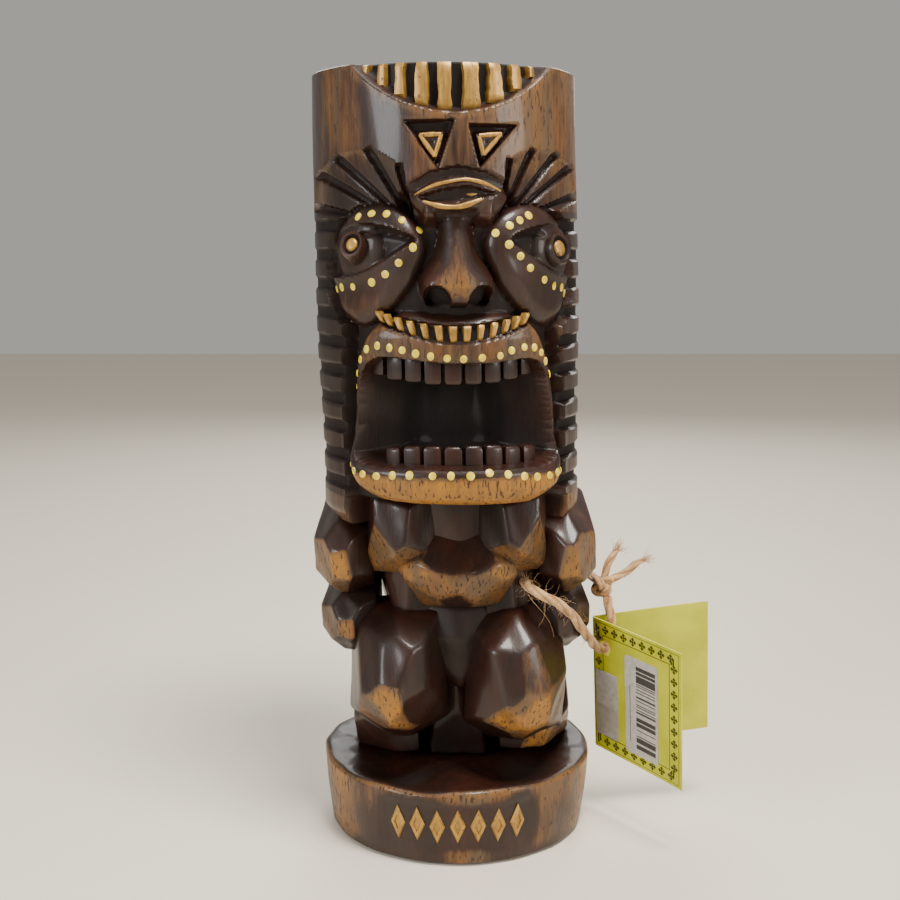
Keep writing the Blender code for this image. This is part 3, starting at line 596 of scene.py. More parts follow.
def carveHead(angle, z):
    # depth cut into the log (mm) and tone (0 stained, 1 rubbed bare) at each angle and height; besides stain
    # and wear the tone holds painted shade and painted highlights in places
    radius = logRadius(z)
    x = radius * np.sin(np.radians(np.clip(angle, -89, 89)))
    side = np.where(angle < 0, -1.0, 1.0)
    away = np.abs(angle)
    h = headSizes
    depth = 0.07 * np.sin(angle * 0.21 + 0.9) * np.sin(z * 0.13) + 0.03 * np.sin(angle * 0.47 + z * 0.21)
    wear = (0.38 + 0.13 * rise(angle, -12, 24) + 0.05 * np.sin(angle * 0.14 + z * 0.05)
            + 0.04 * rise(z, 176, 186))

    # comb of cut hair at the sides, straight on round the head
    comb = (rise(away, h["combFrom"] - 1.2, h["combFrom"] + 1.2)
            * (1 - rise(away, h["combTo"] - 3, h["combTo"])))
    phase = (z - h["combFirst"]) / h["combPitch"]
    inComb = (phase > 0) & (phase < h["combCount"])
    within = np.abs((phase % 1.0) - 0.5) * h["combPitch"]
    slope = 0.45 * np.sin(np.floor(phase) * 2.1 + side)
    groove = (1 - rise(within, h["combTall"] / 2 - 0.45, h["combTall"] / 2 + 0.35)) * inComb
    depth += 1.5 * rise(z, 150, 96) * rise(away, 48, 60)
    depth += (comb * groove * np.where(side < 0, *h["combSideDepth"])
              * (h["combDeep"] * (1 - 0.72 * rise(away, 56, 80)) + slope * 0.5))
    slats = comb * inComb
    # the right comb's slats get a higher tone than the left ones: painted light, that side made lighter as if
    # more strongly lit
    wear = wear * (1 - slats) + slats * np.where(side < 0, *h["combSideWearAndPaintedLight"]) * (1 - groove)

    # fan of rays over each eye: seen from the front, straight grooves run out from the eye's inner corner,
    # and the wood between them falls away towards that corner
    for which, corner in fanCorners.items():
        ahead = np.hypot(x - corner[0], z - corner[1])
        bearing = np.degrees(np.arctan2(z - corner[1], (x - corner[0]) * which))
        bearing = np.where(bearing < -100, bearing + 360, bearing)
        tips = [(math.degrees(math.atan2(b - corner[1], (a - corner[0]) * which)),
                 math.hypot(a - corner[0], b - corner[1]))
                for a, b in fanTips[which]]
        tips.sort()
        outer = np.interp(bearing, [tip[0] for tip in tips], [tip[1] for tip in tips])
        onSide = (side == which) * (away < 88)
        spread = (rise(bearing, tips[0][0] - 3, tips[0][0] + 1)
                  * (1 - rise(bearing, tips[-1][0] - 1, tips[-1][0] + 3)))
        fan = spread * onSide * (1 - rise(ahead, outer - 0.5, outer + 0.3))
        fall = np.clip(1 - ahead / outer, 0, 1)
        depth = depth * (1 - fan) + fan * (0.7 + 4.6 * fall ** 1.1)
        wear = wear * (1 - fan) + fan * (0.50 - 0.36 * fall + 0.05 * which)
        for tipBearing, reach in tips:
            off = np.radians(bearing - tipBearing)
            along = ahead * np.cos(off)
            half = 0.50 + 0.55 * along / reach
            cut = ((1 - rise(np.abs(ahead * np.sin(off)), half - 0.35, half + 0.25)) * onSide
                   * rise(along, 2, 4) * (1 - rise(along, reach + 0.1, reach + 0.7)))
            depth += cut * 1.5
            wear = wear * (1 - cut) + cut * 0.04

    # sunk field between the combs, round the eyes, nose and muzzle
    fieldEdge = 49.5 + 3.5 * rise(z, 150, 120) + np.where(side < 0, 2.5, 0)
    field = (1 - rise(away, fieldEdge - 1.0, fieldEdge + 0.8)) * (1 - rise(z, 163, 167)) * rise(z, 93.0, 94.0)
    depth = depth * (1 - field) + field * h["fieldDeep"]
    wear = wear * (1 - field) + field * 0.03
    pocket = (1 - rise(np.hypot((np.abs(x - 1) - 13.0) / 4.6, (z - 167.5) / 5.2), 0.5, 1.15))
    depth += pocket * h["pocketDeep"]
    wear = wear * (1 - 0.8 * pocket)

    # eye masses with lids, eyeballs and cheeks
    mirrored = -away
    mass = outlineGap(mirrored * 0.62, z, [(a * 0.62, b) for a, b in rounded(eyeMass)])
    rim = np.clip(-mass / 5.0, 0, 1)
    massDepth = 4.4 - 3.6 * np.sqrt(np.clip(1 - (1 - rim) ** 2, 0, 1))
    cheek = (1 - rise(z, 146, 153))
    massDepth += 0.5 * cheek
    inMass = 1 - rise(mass, -0.4, 0.5)
    depth = depth * (1 - inMass) + inMass * massDepth
    wear = wear * (1 - inMass) + inMass * (0.10 + 0.26 * cheek * rise(-mass, 0.3, 2.5))
    opening = outlineGap(np.where(side < 0, mirrored, mirrored + 6.5) * 0.62, z,
                         [(a * 0.62, b) for a, b in rounded(eyeOpening)])
    ballAt = np.where(side < 0, 46.0, 51.0)
    ballArc = (away - ballAt) * 0.60
    ball = np.clip(1 - (ballArc / 8.6) ** 2 - ((z - 158.0) / 8.4) ** 2, 0, 1)
    ballDepth = 2.5 - 2.3 * np.sqrt(ball)
    inOpening = (1 - rise(opening, -0.9, 0.25)) * (1 - rise(mass, -1.3, -0.5))
    depth = depth * (1 - inOpening) + inOpening * ballDepth
    wear = wear * (1 - inOpening) + inOpening * (0.03 + 0.06 * rise(ball, 0.1, 0.5))
    lid = np.exp(-(np.clip(opening, 0, 9) / 1.8) ** 2) * rise(opening, -0.1, 0.3) * inMass
    depth -= lid * 0.55
    upperLine = lineGap(mirrored * 0.62, z,
                        [(-15 * 0.62, 160.6), (-24 * 0.62, 161.6), (-33 * 0.62, 162.3), (-42 * 0.62, 162.0)])
    crease = np.exp(-(upperLine / 0.55) ** 2) * inOpening
    depth += crease * 0.7

    # snout with its two lips, and the small triangular eyes over it
    snoutX = x - 1.2
    snout = np.clip(1 - (snoutX / 13.5) ** 2 - ((z - 171.5) / 7.2) ** 2, 0, 1)
    snoutDepth = 3.6 - 4.6 * np.sqrt(snout)
    inSnout = rise(snout, 0.0, 0.12)
    depth = np.where(snout > 0, np.minimum(depth, depth * (1 - inSnout) + inSnout * snoutDepth), depth)
    wear = wear * (1 - 0.7 * inSnout) + 0.7 * inSnout * 0.34
    arch = lineGap(x, z, [(-10.5, 172.8), (-5.5, 175.8), (0.9, 177.0), (7.5, 175.8), (13.5, 172.8)])
    archCut = 1 - rise(arch, 0.9, 1.6)
    depth += archCut * 1.1
    wear = wear * (1 - archCut) + archCut * 0.05
    slit = outlineGap(x, z, [(-8.6, 171.0), (-3, 172.6), (3.4, 173.4), (10.2, 171.8), (5.2, 170.6),
                             (-1.5, 169.8), (-7.0, 170.2)])
    inSlit = 1 - rise(slit, -0.3, 0.5)
    depth += inSlit * 1.5
    wear = wear * (1 - inSlit) + inSlit * 0.03
    for outer, inner in ((leftEye, leftPupilTriangle), (rightEye, rightPupilTriangle)):
        gapOuter = outlineGap(x, z, outer)
        gapInner = outlineGap(x, z, inner)
        sunk = (1 - rise(gapOuter, -0.5, 0.35)) * rise(gapInner, -0.2, 0.7)
        depth += sunk * 2.1
        inside = 1 - rise(gapInner, -0.2, 0.7)
        depth += inside * 0.5 + (1 - rise(gapInner, -2.1, -1.5)) * 0.9
        wear = wear * (1 - sunk) * (1 - inside) + inside * 0.1
        edge = np.exp(-((gapOuter - 0.6) / 0.8) ** 2)
        wear += edge * 0.05

    # scoop out of the crown
    drop, half = h["scoopDrop"], h["scoopHalf"]
    circle = (half ** 2 + drop ** 2) / (2 * drop)
    scoop = np.hypot(x - 0.4, z - (log["top"] - drop + circle)) - circle
    scoop = np.where(away < 60, scoop, 9)
    inScoop = 1 - rise(scoop, -1.5, 0.1)
    depth = depth * (1 - inScoop) + inScoop * h["scoopDeep"]
    wear = wear * (1 - inScoop) - 0.05 * inScoop
    # the lighter band along the scoop's rim is a painted highlight
    wear += 0.12 * np.exp(-((scoop - 0.8) / 0.7) ** 2)

    # muzzle: lips round the open mouth
    lipGap = outlineGap(x, z, rounded(muzzle, 2))
    inMuzzle = 1 - rise(lipGap, -0.5, 0.4)
    edge = np.clip(-lipGap / 3.2, 0, 1)
    muzzleDepth = 3.4 * (1 - np.sqrt(np.clip(1 - (1 - edge) ** 2, 0, 1))) - 0.2
    jaw = 1 - rise(z, 106, 112)
    muzzleDepth -= 1.2 * jaw * rise(z, 95, 100)
    muzzleDepth += 0.9 * rise(z, 136.5, 142)
    depth = depth * (1 - inMuzzle) + inMuzzle * muzzleDepth
    lipWear = 0.26 + 0.24 * rise(z, 129.0, 132.0) + 0.62 * jaw * (1 - rise(z, 101.4, 103.4))
    lipWear = np.where(away > 36, lipWear - 0.16 * rise(away, 36, 50) * (1 - jaw), lipWear)
    wear = wear * (1 - inMuzzle) + inMuzzle * np.clip(lipWear, 0.06, 0.92)
    band = (rise(z, bandLow(x) - 0.5, bandLow(x) + 0.4)
            * (1 - rise(z, bandHigh(x) - 0.4, bandHigh(x) + 0.5)) * (1 - rise(np.abs(x), 18.8, 20.2)))
    depth += band * 1.5
    wear = wear * (1 - band)
    # the muzzle is darkened above the moustache band, right under the nose: painted shadow cast by the nose
    above = rise(z, bandHigh(x) - 0.2, bandHigh(x) + 0.8) * inMuzzle
    wear = wear * (1 - 0.7 * above)
    hole = outlineGap(x, z, rounded(mouth, 2))
    inHole = 1 - rise(hole, -0.6, 0.25)
    bowl = h["mouthDeep"] * (1 - np.exp(-np.clip(-hole, 0, 99) / 1.0)) + 0.7
    palate = 1.1 * np.cos(x * 0.21 + 0.3) * rise(z, 108, 126)
    depth = depth * (1 - inHole) + inHole * (bowl - palate * rise(-hole, 2, 6))
    wear = wear * (1 - inHole) + inHole * (-0.03 + 0.09 * rise(-hole, 3.0, 0.6))
    lipRound = np.exp(-(np.clip(hole, 0, 9) / 0.9) ** 2) * (1 - inHole) * inMuzzle
    depth += lipRound * 0.7

    # nose
    noseX = x - 0.3
    across = np.interp(z, [144.6, 146, 148.5, 151, 153.5, 156.5, 160, 164, 168],
                       [7.8, 9.6, 10.9, 11.0, 9.6, 7.2, 5.6, 5.0, 5.4])
    top = np.interp(z, [144.6, 146, 149, 152, 156, 161, 166, 170],
                    [0.4, -1.3, -2.5, -2.3, -1.2, 0.3, 2.2, 3.6])
    share = np.clip(np.abs(noseX) / across, 0, 1)
    flat = np.interp(z, [145, 150, 156, 166], [3.2, 2.6, 2.2, 2.2])
    noseDepth = top + (5.4 - top) * share ** flat
    wings = np.exp(-((np.abs(noseX) - 7.2) / 3.0) ** 2) * np.exp(-((z - 149.2) / 3.4) ** 2)
    noseDepth -= wings * 1.5
    inNose = ((1 - rise(np.abs(noseX), across - 0.5, across + 0.5)) * rise(z, 144.4, 145.2)
              * (1 - rise(z, 166.5, 169.0)))
    depth = depth * (1 - inNose) + inNose * np.minimum(noseDepth, depth + 2)
    # the nose's tone: tip and wings lighter as wear, and a narrow lighter strip down the middle of the bridge
    # (z 150 to 166) that is a painted highlight
    noseWearAndHighlight = (0.29 + 0.52 * np.exp(-(noseX / 4.6) ** 4) * np.exp(-((z - 149.6) / 3.4) ** 2) + 0.16 * wings
                + 0.20 * np.exp(-(noseX / 2.6) ** 2) * rise(z, 150, 155) * (1 - rise(z, 160, 166))
                - 0.16 * rise(z, 160, 166) - 0.08)
    wear = wear * (1 - inNose) + inNose * noseWearAndHighlight
    nostril = np.minimum(np.hypot((noseX + 5.4) / 3.6, (z - 145.6) / 4.2),
                         np.hypot((noseX - 5.9) / 3.5, (z - 145.6) / 4.2))
    inNostril = (1 - rise(nostril, 0.86, 1.06)) * inNose
    depth += inNostril * 5.0
    wear = wear * (1 - inNostril)

    # cut back under the chin
    under = (1 - rise(z, 94.0, 95.2)) * (1 - rise(away, 55.5, 57.5))
    depth = depth * (1 - under) + under * 17.0
    wear = wear * (1 - under) + under * 0.02
    lower = rise(z, 92.5, 88.0) * (1 - under)
    depth += lower ** 2 * 1.5
    wear += lower * 0.18
    # deeper cuts are darkened by their depth: partly the dark stain in the recesses, partly painted shade
    deepStainAndShade = rise(depth, 1.2, 4.0) * (1 - inNose) * (1 - inMass) * (1 - inMuzzle)
    wear = wear * (1 - 0.35 * deepStainAndShade)
    return depth, wear


def headPoint(angle, z, lift=0.0):
    depth, _ = carveHead(angle, z)
    return onLog(angle, logRadius(z) - depth + lift, z)


def makeHead():
    # radius = log radius less the carved depth, on a grid of angle by height, closed over the crown
    # and underneath
    front = np.linspace(-66, 66, 232)
    back = np.linspace(66, 294, 112)[1:-1]
    angle = np.concatenate([front, back])
    plain = np.where(angle > 180, angle - 360, angle)
    z = np.linspace(log["chin"], log["top"], 262)
    anglesOf, heights = np.meshgrid(plain, z)
    depth, wear = carveHead(anglesOf, heights)
    radius = logRadius(heights) - depth
    radius[0] -= 0.9
    radius[-1] -= 0.6
    rings = onLog(anglesOf, radius, heights)
    caps = []
    for row, shares in ((rings[0], (0.3, 0.75)), (rings[-1], (0.93, 0.8, 0.55, 0.25))):
        middle = row.mean(0)
        caps.append(np.stack([middle + (row - middle) * share for share in shares]))
    caps[1][..., 2] += 0.0001
    rings = np.concatenate([caps[0], rings, caps[1]])
    wear = np.concatenate([np.full((2, len(angle)), 0.12), wear, np.full((4, len(angle)), 0.34)])
    points, faces = closedTube(rings)
    wear = np.concatenate([wear.ravel(), [0.12, 0.34]])
    head = storeMesh("headLog", points, faces, wood, "figure", {"wear": wear}, 42)
    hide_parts("carved_figure")


makeHead()
print("head carved")


def domes(angles, heights, wide, tall, thick):
    # shallow domes of paint on the carved surface: rings of a disc lifted by a parabola along the
    # surface's normal
    at = headPoint(angles, heights)
    right = headPoint(angles + 1.2, heights) - headPoint(angles - 1.2, heights)
    upward = headPoint(angles, heights + 0.7) - headPoint(angles, heights - 0.7)
    right /= np.linalg.norm(right, axis=-1, keepdims=True)
    upward -= right * (upward * right).sum(-1, keepdims=True)
    upward /= np.linalg.norm(upward, axis=-1, keepdims=True)
    out = np.cross(right, upward)
    turn = np.linspace(0, 2 * math.pi, 14, endpoint=False)
    shares = np.array([1.0, 0.94, 0.62, 0.25])
    rises = np.array([-0.5, 0.55, 0.9, 1.0]) * thick
    made = []
    for place in range(len(angles)):
        ring = ((np.cos(turn)[:, None] * right[place] * wide[place]
                 + np.sin(turn)[:, None] * upward[place] * tall[place]) * mm)
        stack = at[place] + shares[:, None, None] * ring[None] + (rises[:, None, None] * mm) * out[place]
        made.append(closedTube(stack))
    return joined(made)


dotPlaces = {
    "upperLids": [(-43.5, 166.4), (-36.5, 167.1), (-29.5, 167.0), (-22.5, 165.5), (-15.8, 163.1),
                  (17.5, 162.4), (23.5, 164.2), (28.5, 165.5), (33.5, 166.7)],
    "lowerLids": [(-17.6, 158.9), (-23.8, 155.2), (-30, 152.4), (-36.8, 150.4), (-47.5, 149.2),
                  (-55, 149.0), (-60.5, 148.4), (22.5, 159.6), (28.0, 156.8), (33.2, 153.9),
                  (41.5, 150.9), (48.5, 149.3), (55, 148.8), (59.5, 147.2)],
    "upperLip": [(-49.5, 120.5), (-47.8, 124.3), (-46, 127.6), (-43.2, 131.2), (-39, 133.9),
                 (-33.5, 134.9), (-28, 134.5), (-22.5, 134.0), (-17, 133.2), (-11, 132.6),
                 (-4.5, 132.1), (2, 131.9), (9.5, 132.2), (17, 132.6), (22, 133.8), (28, 134.5),
                 (33, 134.3), (37, 132.9), (40.2, 130.6), (43.5, 127.2), (46.0, 123.0)],
    "lowerLip": [(-50, 104.0), (-45.5, 103.0), (-40.5, 102.5), (-34, 102.4), (-27, 102.9), (-20, 103.2),
                 (-11, 103.2), (-4, 103.3), (3.5, 103.2), (11, 103.8), (18.5, 103.2), (25.5, 102.4),
                 (31.5, 101.9), (38, 101.8), (43, 102.2), (47, 102.2)],
}


def makeDots():
    draw = np.random.default_rng(12)
    for name, places in dotPlaces.items():
        angles = np.array([a for a, _ in places], float)
        heights = np.array([z for _, z in places], float)
        slim = np.where(np.abs(angles) > 44, 0.80, 1.0) * (0.86 if name == "upperLip" else 1.0)
        wide = 1.06 * slim * draw.uniform(0.90, 1.08, len(angles))
        tall = 1.08 * draw.uniform(0.92, 1.08, len(angles)) * (0.94 if name == "upperLip" else 1.0)
        points, faces = domes(angles, heights, wide, tall, 0.30)
        storeMesh(name + "Dots", points, faces, dotPaint, "figure", None, 50)


crownBars = {"angles": (-40.6, -32.0, -23.2, -13.3, -3.2, 8.6, 19.8, 30.4, 39.5),
             "halves": (1.15, 1.15, 1.45, 1.95, 2.25, 2.55, 2.35, 1.75, 1.05), "proud": 2.2,
             "radius": 34.4}


def makeCrownBars():
    drop, half = headSizes["scoopDrop"], headSizes["scoopHalf"]
    circle = (half ** 2 + drop ** 2) / (2 * drop)
    draw = np.random.default_rng(3)
    made = []
    for angle, wide in zip(crownBars["angles"], crownBars["halves"]):
        x = crownBars["radius"] * math.sin(math.radians(angle))
        floor = (log["top"] - drop + circle
                 - math.sqrt(circle ** 2 - min(abs(x) - wide * 0.5, half - 1) ** 2) + 0.8)
        share = np.linspace(0, 1, 9)[:, None]
        z = floor + (log["top"] - 0.25 - floor) * share
        u = np.array([-1, -0.86, -0.3, 0.3, 0.86, 1])[None]
        uneven = 1 + 0.10 * np.sin(share * 5 + angle) + 0.05 * draw.normal(size=(9, 1))
        splay = 1 - 0.16 * share
        a = angle + np.degrees(u * wide * uneven * splay / crownBars["radius"]) - share * angle * 0.02
        crown = np.array([0.1, 0.95, 1.0, 1.0, 0.95, 0.1])[None]
        ends = np.where((share < 0.01) | (share > 0.99), 0.72, 1.0)
        radius = logRadius(z) - headSizes["scoopDeep"] - 0.6 + (crownBars["proud"] + 0.6) * crown * ends
        face = onLog(a, radius, z + 0 * a)
        backing = onLog(a, logRadius(z) - headSizes["scoopDeep"] - 1.0 + 0 * a, z + 0 * a)[:, ::-1]
        made.append(closedTube(np.concatenate([face, backing], 1)))
    points, faces = joined(made)
    storeMesh("crownStripes", points, faces, gold, "figure", None, 35)


moustache = {"angles": (-33.0, -29.4, -24.6, -19.2, -13.5, -7.6, -1.8, 3.9, 9.6, 15.3, 20.8, 25.8, 30.2),
             "half": 1.22, "radius": 35.3}


def makeMoustache():
    made = []
    draw = np.random.default_rng(9)
    for angle in moustache["angles"]:
        x = moustache["radius"] * math.sin(math.radians(angle))
        low, high = bandLow(x) + 0.15, bandHigh(x) - 0.05
        share = np.linspace(0, 1, 6)[:, None]
        z = low + (high - low) * share
        u = np.array([-1, -0.7, 0.0, 0.7, 1])[None]
        half = (moustache["half"] * (1 - 0.45 * abs(angle) / 36) * (1.0 - 0.22 * (1 - share))
                * draw.uniform(0.92, 1.1))
        lean = (share - 0.5) * angle * 0.10
        a = angle + lean + np.degrees(u * half / moustache["radius"])
        crown = (np.array([0.15, 0.9, 1.0, 0.9, 0.15])[None]
                 * np.where((share < 0.01) | (share > 0.99), 0.55, 1.0))
        base = logRadius(z) - 1.9
        face = onLog(a, base + 1.55 * crown, z + 0 * a)
        backing = onLog(a, base - 0.8 + 0 * a, z + 0 * a)[:, ::-1]
        made.append(closedTube(np.concatenate([face, backing], 1)))
    points, faces = joined(made)
    storeMesh("moustacheBars", points, faces, gold, "figure", None, 40)


def brushLine(corners, halfWidths, lift, spacing=0.5, sides=8):
    # a painted ridge: a flat tube along a line of (sideways mm, height mm) points on the carved surface
    given = np.array(corners, float)
    line = smoothLine(np.column_stack([given, np.zeros(len(given))]), spacing)
    x, z = line[:, 0], line[:, 1]
    share = np.linspace(0, 1, len(x))
    half = np.interp(share, np.linspace(0, 1, len(halfWidths)), halfWidths)
    angle = np.degrees(np.arcsin(x / logRadius(z)))
    centre = headPoint(angle, z, lift)
    tangents = np.gradient(centre, axis=0)
    tangents /= np.linalg.norm(tangents, axis=1, keepdims=True)
    around = np.radians(angle + log["turn"])
    out = np.stack([np.sin(around), -np.cos(around), np.zeros(len(x))], -1)
    over = np.cross(out, tangents)
    turn = np.linspace(0, 2 * math.pi, sides, endpoint=False)[None, :, None]
    rings = centre[:, None] + (np.cos(turn) * over[:, None] * half[:, None, None]
                               + np.sin(turn) * out[:, None] * np.minimum(half, 0.55)[:, None, None]) * mm
    return closedTube(rings[:, ::-1])


def makeGoldLines():
    made = [
        brushLine([(-9.9, 171.4), (-5.0, 173.6), (1.0, 174.9), (4.0, 174.9), (8.0, 173.9),
                   (11.4, 172.4)], (0.22, 0.46, 0.38, 0.55, 0.28), 0.15),
        brushLine([(-7.6, 169.9), (-4.5, 168.9), (-1.3, 168.5), (2.0, 168.8), (6.2, 170.4)],
                  (0.3, 0.66, 0.58, 0.72, 0.4), 0.2),
        brushLine([(2.0, 171.7), (4.2, 171.5), (6.4, 171.9)], (0.3, 0.6, 0.3), -0.4),
    ]
    for inner in (leftPupilTriangle, rightPupilTriangle):
        middle = np.mean(inner, 0)
        corners = [tuple(middle + (np.array(corner) - middle) * 0.80) for corner in inner]
        for first, second in zip(corners, corners[1:] + corners[:1]):
            between = tuple(np.mean([first, second], 0))
            made.append(brushLine([first, between, second], (0.50, 0.62, 0.50), 0.15))
    points, faces = joined(made)
    storeMesh("goldLines", points, faces, gold, "figure", None, 50)

    for name, tube in eyeTubes.items():
        at = headPoint(np.array(tube["angle"], float), np.array(tube["height"], float))
        faceTurn, lift = math.radians(tube["faces"] + log["turn"]), math.radians(tube["tilt"])
        out = np.array([math.sin(faceTurn) * math.cos(lift), -math.cos(faceTurn) * math.cos(lift),
                        math.sin(lift)])
        across = np.array([math.cos(faceTurn), math.sin(faceTurn), 0.0])
        upward = np.cross(across, out) * -1
        turn = np.linspace(0, 2 * math.pi, 40, endpoint=False)
        ring = np.cos(turn)[:, None] * across * tube["wide"] + np.sin(turn)[:, None] * upward * tube["tall"]

        def turned(profile):
            return closedTube(np.stack([at + (ring * size + out * reach) * mm for size, reach in profile]))

        tall = tube["long"]
        points, faces = turned([(1.12, -3.5), (1.06, 0.0), (1.0, tall - 0.4), (0.94, tall),
                                (0.80, tall + 0.05), (0.74, tall - 0.25), (0.68, tall - 0.8)])
        wear = np.concatenate([np.repeat([0.05, 0.07, 0.14, 0.34, 0.30, 0.05, 0.0], 40), [0.05, 0.0]])
        storeMesh(name, points, faces, wood, "figure", {"wear": wear}, 40)
        points, faces = turned([(0.50, tall - 1.2), (0.50, tall - 0.6), (0.42, tall - 0.25),
                                (0.2, tall - 0.12)])
        storeMesh(name + "Gold", points, faces, gold, "figure", None, 50)


eyeTubes = {
    "pupilLeft": {"angle": -44.0, "height": 158.6, "faces": -24, "tilt": 22, "wide": 3.0, "tall": 3.5,
                  "long": 3.2},
    "pupilRight": {"angle": 48.5, "height": 158.4, "faces": 38, "tilt": 12, "wide": 3.7, "tall": 4.1,
                   "long": 1.9},
}

teethRows = {
    "upperTeeth": {"count": 9, "low": 125.4, "high": 132.6, "setBack": 3.6, "from": -44.0, "to": 40.0,
                   "arch": 1.8},
    "lowerTeeth": {"count": 8, "low": 102.4, "high": 109.6, "setBack": 3.2, "from": -36.0, "to": 40.0,
                   "arch": -0.8},
}


def makeTeeth():
    draw = np.random.default_rng(17)
    for name, row in teethRows.items():
        made, wears = [], []
        pitch = (row["to"] - row["from"]) / row["count"]
        for place in range(row["count"]):
            angle = row["from"] + pitch * (place + 0.5)
            outer = abs(2 * (place + 0.5) / row["count"] - 1)
            half = pitch * 0.5 * (0.90 if outer < 0.8 else 0.78)
            low = (row["low"] + (row["arch"] * outer ** 2 if row["arch"] > 0 else 0)
                   + draw.uniform(-0.25, 0.25))
            high = (row["high"] + (row["arch"] * outer ** 2 if row["arch"] < 0 else 0)
                    + draw.uniform(-0.2, 0.2))
            share = np.array([0, 0.04, 0.14, 0.5, 0.86, 0.96, 1.0])[:, None]
            z = low + (high - low) * share
            trim = np.array([0.72, 0.9, 1, 1, 1, 0.9, 0.72])[:, None]
            u = np.array([-1, -0.9, -0.5, 0.5, 0.9, 1])[None]
            a = angle + u * half * trim
            crown = np.array([0.0, 0.86, 1, 1, 0.86, 0.0])[None] * trim
            radius = logRadius(z) * 0.985 - row["setBack"] - 1.6 + 1.6 * crown
            face = onLog(a, radius, z + 0 * a)
            backing = onLog(a, radius.min() - 1.6 + 0 * a, z + 0 * a)[:, ::-1]
            points, faces = closedTube(np.concatenate([face, backing], 1))
            made.append((points, faces))
            wears.append(np.full(len(points), 0.26 + draw.uniform(-0.03, 0.03)))
        points, faces = joined(made)
        storeMesh(name, points, faces, wood, "figure", {"wear": np.concatenate(wears)}, 35)


makeDots()
makeCrownBars()
makeMoustache()
makeGoldLines()
makeTeeth()
print("paint and teeth added")


def chipped(centre, half, cuts, rows=84, columns=120, sharpness=52):
    # distance from the centre in each direction = soft minimum of the distances to flat knife cuts,
    # (sum of max(n.u / d, 0)^p)^(-1/p); a cut is (turn, tilt, share, tone), where a share of 1 just touches
    # the egg with these half sizes and a smaller one cuts deeper; a cut's tone is partly wear and partly
    # painted light, upward and underside facets being made darker than the front ones
    turn = np.linspace(0, 2 * math.pi, columns, endpoint=False)[None]
    tilt = np.linspace(-math.pi / 2, math.pi / 2, rows + 2)[1:-1, None]
    way = np.stack([np.cos(tilt) * np.sin(turn), -np.cos(tilt) * np.cos(turn), np.sin(tilt) + 0 * turn], -1)
    spread = way * np.array(half)
    table = np.array(cuts, float)
    az, el = np.radians(table[:, 0]), np.radians(table[:, 1])
    normals = np.stack([np.cos(el) * np.sin(az), -np.cos(el) * np.cos(az), np.sin(el)], -1)
    distances = table[:, 2] * np.linalg.norm(normals * np.array(half), axis=1)
    push = np.maximum(spread @ normals.T / distances, 0) ** sharpness
    total = push.sum(-1)
    reach = total ** (-1 / sharpness)
    share = push / total[..., None]
    wear = (share * table[:, 3]).sum(-1)
    ridge = 1 - share.max(-1)
    wear = wear + ridge * 0.30 * rise(wear, 0.05, 0.3)
    wobble = (1 + 0.007 * np.sin(9 * way[..., 0] + 4 * way[..., 2] + centre[0])
              + 0.006 * np.sin(11 * way[..., 1] - 7 * way[..., 2]))
    body = np.array(centre, float) + spread * (reach * wobble)[..., None]
    points, faces = closedTube(leaned(body[..., 0], body[..., 1], body[..., 2]))
    return points, faces, np.concatenate([wear.ravel(), [wear[0].mean(), wear[-1].mean()]])


def mirroredCuts(cuts, changes=None):
    flipped = [[-turn, tilt, share, wear] for turn, tilt, share, wear in cuts]
    for place, cut in (changes or {}).items():
        flipped[place] = list(cut)
    return flipped


# in the cut tables below the fourth value is each facet's tone: partly wear, partly painted light, with
# upward and underside facets darker than the front ones
rearCuts = [(180, 0, 0.92, 0.36), (-135, 10, 0.92, 0.32), (135, 10, 0.92, 0.2), (180, 45, 0.92, 0.2),
            (180, -45, 0.92, 0.2)]
upperArmCuts = [
    (-12, -12, 0.91, 0.88), (-20, 34, 0.92, 0.12), (-62, -8, 0.91, 0.72), (-95, 4, 0.93, 0.50),
    (-70, 42, 0.90, 0.18), (46, 0, 0.90, 0.14), (88, -6, 0.92, 0.03), (28, 50, 0.93, 0.10),
    (-20, 74, 0.94, 0.12), (-16, -50, 0.90, 0.55), (-78, -48, 0.90, 0.40), (46, -48, 0.90, 0.10),
    (0, -80, 0.92, 0.04), *rearCuts,
]
foreArmCuts = [
    (-14, -10, 0.90, 0.82), (-18, 34, 0.90, 0.10), (-62, -2, 0.92, 0.50), (-98, 0, 0.93, 0.40),
    (44, -4, 0.90, 0.05), (88, 0, 0.92, 0.02), (-24, -50, 0.88, 0.22), (40, -50, 0.88, 0.04),
    (-80, -44, 0.90, 0.26), (-74, 44, 0.90, 0.14), (20, 60, 0.93, 0.06), (0, -80, 0.92, 0.04),
    *rearCuts,
]
